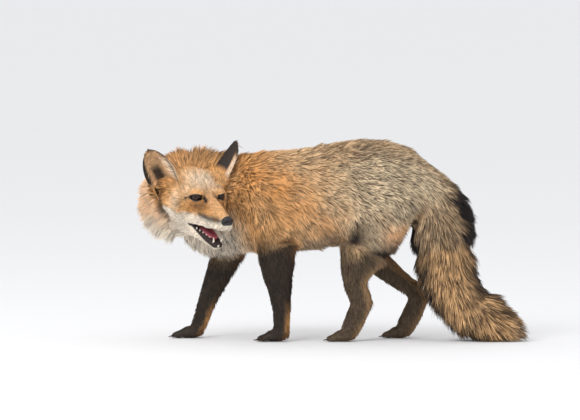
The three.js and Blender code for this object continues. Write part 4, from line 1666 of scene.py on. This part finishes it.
mouth = {
    "canine": {"radius": 2.7, "lean": 2.0},
    "cheekTooth": {"radius": 2.3, "lean": 0.0},
    "incisor": {"radius": 1.4, "lean": 0.3},
    "toothRings": 6,
    "toothSpokes": 9,
    "enamel": {"first": "F3EDDD", "second": "D9C9A4", "roughness": 0.25, "scale": 140.0},
    # forward, up, half the width and half the thickness, from the root to the tip
    "tongue": [
        (-22, -62, 11, 5), (0, -62, 13, 5), (18, -66, 13, 4.8), (34, -70, 11.5, 4), (45, -73, 7.5, 2.8),
    ],
    "tongueRings": 22,
    "tongueSpokes": 24,
    "groove": {"deep": 1.6, "half": 2.4},
    "flesh": {"first": "8F3C48", "second": "C06A72", "roughness": 0.32, "scale": 700.0},
}
# each row on the left: its first tooth's root and tip in the head's axes, the step from each tooth
# to the next at both, and how fast the row curves back
teeth = {
    "upper_teeth": [
        {"kind": "canine", "count": 1, "root": (62, 10, -40), "tip": (63, 11, -53)},
        {"kind": "incisor", "count": 3, "root": (74, 1.6, -40), "tip": (75, 1.6, -48),
         "rootStep": (0, 3.1, 0), "tipStep": (0, 3.1, 0), "curve": 1.2},
        {"kind": "cheekTooth", "count": 5, "root": (47, 11.5, -43), "tip": (46, 12, -51),
         "rootStep": (-11, 1.7, 0), "tipStep": (-11, 1.7, -0.9)},
    ],
    "lower_teeth": [
        {"kind": "canine", "count": 1, "root": (48, 7.5, -84), "tip": (51.5, 10.5, -67)},
        {"kind": "incisor", "count": 3, "root": (56, 1.1, -87), "tip": (57.5, 1.1, -82),
         "rootStep": (0, 2.1, 0), "tipStep": (0, 2.2, 0), "curve": 0.8},
        {"kind": "cheekTooth", "count": 5, "root": (36, 9.5, -79), "tip": (35.5, 10, -69.5),
         "rootStep": (-9, 2.3, 3.0), "tipStep": (-9, 2.3, 2.9)},
    ],
}


def ringFaces(rings, spokes):
    # the sides of a body made of rings of corners, and the fan round the point that ends it
    faces = []
    for n in range(rings - 1):
        for k in range(spokes):
            a, b = n * spokes + k, n * spokes + (k + 1) % spokes
            faces.append((a, b, b + spokes, a + spokes))
    last = (rings - 1) * spokes
    return faces + [(last + k, last + (k + 1) % spokes, rings * spokes) for k in range(spokes)]


def backFan(rings, spokes):
    # the fan that closes the first ring, round the point that comes after the end
    return [((k + 1) % spokes, k, rings * spokes + 1) for k in range(spokes)]


def bentCone(start, end, radius, lean):
    # a closed pointed cone that leans forward in its middle
    rings, spokes = mouth["toothRings"], mouth["toothSpokes"]
    way = unit(end - start)
    aside = unit(np.cross(way, [1, 0.2, 0.1]))
    other = np.cross(way, aside)
    turns = np.arange(spokes) / spokes * 2 * math.pi
    ring = np.outer(np.cos(turns), aside) + np.outer(np.sin(turns), other)
    points = []
    for n in range(rings):
        t = n / rings
        middle = start + (end - start) * t + np.array([lean, 0, 0]) * math.sin(math.pi * t)
        points.append(middle + ring * radius * (1 - t**1.7) ** 0.8)
    return np.concatenate([*points, [end], [start]]), ringFaces(rings, spokes) + backFan(rings, spokes)


def joinedMesh(name, parts):
    points, faces, start = [], [], 0
    for partPoints, partFaces in parts:
        points.append(partPoints)
        faces += [tuple(start + n for n in face) for face in partFaces]
        start += len(partPoints)
    mesh = bpy.data.meshes.new(name)
    mesh.from_pydata(fromHead(np.concatenate(points)).tolist(), [], faces)
    mesh.polygons.foreach_set("use_smooth", [True] * len(mesh.polygons))
    piece = linked(name, mesh)
    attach(piece, "root")
    return piece


def toothRow(row):
    style = mouth[row["kind"]]
    cones = []
    for n in range(row["count"]):
        back = np.array([row.get("curve", 0) * n * n, 0, 0])
        start, end = [
            np.array(row[part], float) + n * np.array(row.get(part + "Step", (0, 0, 0))) - back
            for part in ("root", "tip")
        ]
        for side in (-1, 1):
            flip = np.array([1, side, 1])
            cones.append(bentCone(start * flip, end * flip, style["radius"], style["lean"]))
    return cones


def makeTeeth(mottle):
    print("head: teeth")
    made, _, shader, _ = mottledMaterial("enamel", mottle, mouth["enamel"])
    shader.inputs["Coat Weight"].default_value = 0.5
    for name, rows in teeth.items():
        piece = joinedMesh(name, [tooth for row in rows for tooth in toothRow(row)])
        piece.data.materials.append(made)


def tongueForm():
    sections = np.array(mouth["tongue"], float)
    rings, spokes = mouth["tongueRings"], mouth["tongueSpokes"]
    turns = np.arange(spokes) / spokes * 2 * math.pi
    last = len(sections) - 1
    points = []
    for place in np.linspace(0, last, rings):
        forward, up, half, thick = [np.interp(place, range(len(sections)), column) for column in sections.T]
        close = math.sqrt(max(1 - (place / last) ** 8, 0.02))
        aside, above = half * close * np.cos(turns), thick * close * np.sin(turns)
        groove = mouth["groove"]["deep"] * np.exp(-((aside / mouth["groove"]["half"]) ** 2)) * (above > 0)
        points.append(np.stack([np.full(spokes, forward), aside, up + above - groove], 1))
    tip = [sections[-1, 0] + 1, 0, sections[-1, 1]]
    root = [sections[0, 0], 0, sections[0, 1]]
    return np.concatenate([*points, [tip], [root]]), ringFaces(rings, spokes) + backFan(rings, spokes)


def makeTongue(mottle):
    print("head: tongue")
    piece = joinedMesh("tongue_muscle", [tongueForm()])
    made, tree, shader, mask = mottledMaterial("tongueFlesh", mottle, mouth["flesh"])
    addBump(tree, shader, mask, 0.6, 0.0006)
    shader.inputs["Coat Weight"].default_value = 0.4
    piece.data.materials.append(made)
    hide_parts("tongue")


# whiskers: their roots and ways in the head's axes

whiskers = {
    "rows": 4,
    "each": 4,
    "radius": 0.28,
    "length": (26, 58),
    "seed": 5,
    "first": (62, 12, -33),
    "next": (-7.5, 1.5, 0.4),
    "rowDrop": 3.4,
    "way": (-0.9, 0.75, 0.20),
    "wayBack": 0.15,
    "wayDrop": 0.12,
    "stray": 0.08,
    "sag": (-0.2, 0, -0.08),
    "look": {"first": "14100F", "second": "3B302B", "roughness": 0.4, "scale": 60.0},
}


def bentTube(guide, radius, steps=8):
    # a tapered three-sided hair along a smooth bend through three places
    a, b, c = guide
    t = np.linspace(0, 1, steps + 1)[:, None]
    line = a * (1 - t) ** 2 + 2 * b * t * (1 - t) + c * t * t
    aside = unit(np.cross(c - a, [0.1, 0.2, 1]))
    other = unit(np.cross(c - a, aside))
    points = []
    for n in range(steps):
        wide = radius * (1 - 0.85 * n / steps)
        for corner in range(3):
            turn = corner * 2 * math.pi / 3
            points.append(line[n] + wide * (math.cos(turn) * aside + math.sin(turn) * other))
    return np.array([*points, line[-1]]), [(2, 1, 0), *ringFaces(steps, 3)]


def makeWhiskers(mottle):
    print("head: whiskers")
    rng = np.random.default_rng(whiskers["seed"])
    first, onward, sag = [np.array(whiskers[part]) for part in ("first", "next", "sag")]
    parts = []
    for side in (-1, 1):
        for row in range(whiskers["rows"]):
            for n in range(whiskers["each"]):
                root = (first + n * onward) * (1, side, 1) - (0, 0, whiskers["rowDrop"] * row)
                back, aside, up = whiskers["way"]
                up += rng.uniform(-whiskers["stray"], whiskers["stray"]) - whiskers["wayDrop"] * row
                out = unit([back - whiskers["wayBack"] * n, side * aside, up])
                length = rng.uniform(*whiskers["length"]) * (0.7 + 0.12 * n)
                tip = root + (out + sag) * length
                parts.append(bentTube([root, root + out * length * 0.5, tip], whiskers["radius"]))
    piece = joinedMesh("whiskers", parts)
    piece.data.materials.append(mottledMaterial("whisker", mottle, whiskers["look"])[0])


clawLook = {"first": "1D1613", "second": "5A483A", "roughness": 0.35, "scale": 240.0, "detail": 3.0}


def paintClaws(mottle):
    print("feet: claws")
    made, tree, shader, mask = mottledMaterial("claw", mottle, clawLook)
    addBump(tree, shader, mask, 0.3, 0.0005)
    for name, node in nodes.items():
        if "_claw_" in name:
            node.data.materials.clear()
            node.data.materials.append(made)


# the fox, put together in the order that its pieces build on each other

def makeSkin(group):
    fields = [field for region in regions.values() for field in region["fields"]]
    headFields = [nodeField(name, skinMaking["bodyStep"], skinMaking["reach"]) for name in headSolids]
    skinFields["coat"] = joinedOutline(fields + headFields)
    body = makeBodySkin(headFields)
    skin = united([body, *makePawSkins(), makeHeadSkin(), *[makeEarSkin(name) for name in ears]], "skin")
    skin.data.polygons.foreach_set("use_smooth", [True] * len(skin.data.polygons))
    skinFields["ears"] = makeEarTree()
    skinData = skinArrays(skin)
    print("skin: markings on", len(skinData[0]), "points,", len(skinData[1]), "triangles")
    coat = Coat(skinData[0], skinData[2])
    paintSkin(skin, skinData, coat, makeSkinMaterial(group))
    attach(skin, "root")
    flesh = [name for region in regions.values() for name in region["nodes"]]
    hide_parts(*flesh, *headSolids, "ear_left", "ear_right")
    return skin, skinData, coat


def makeFox():
    group = makeCoatColour()
    makeRegionFields()
    skin, skinData, coat = makeSkin(group)
    owner = coatOwner(coat)
    unwrap = unwrapOf(skin)
    paint = makeCoatMaterial(group)
    total = 0
    for number, name in enumerate(coats):
        rng = np.random.default_rng(tufts["seed"] + number)
        grown = growCoat(name, number, skinData, owner, rng)
        makeCoatPiece(grown, unwrap, paint)
        total += len(grown["faces"])
        print("coat:", name, len(grown["vertices"]), "tufts,", len(grown["faces"]), "triangles")
    print("coat: all", total, "triangles")
    print("head: eyes")
    eyePaint = makeEyeMaterial()
    makeEye("eyeball_left", 1, eyePaint)
    makeEye("eyeball_right", -1, eyePaint)
    mottle = makeMottle()
    for make in (makeNose, makeTeeth, makeTongue, makeWhiskers, paintClaws):
        make(mottle)


makeStudio()
makeFox()
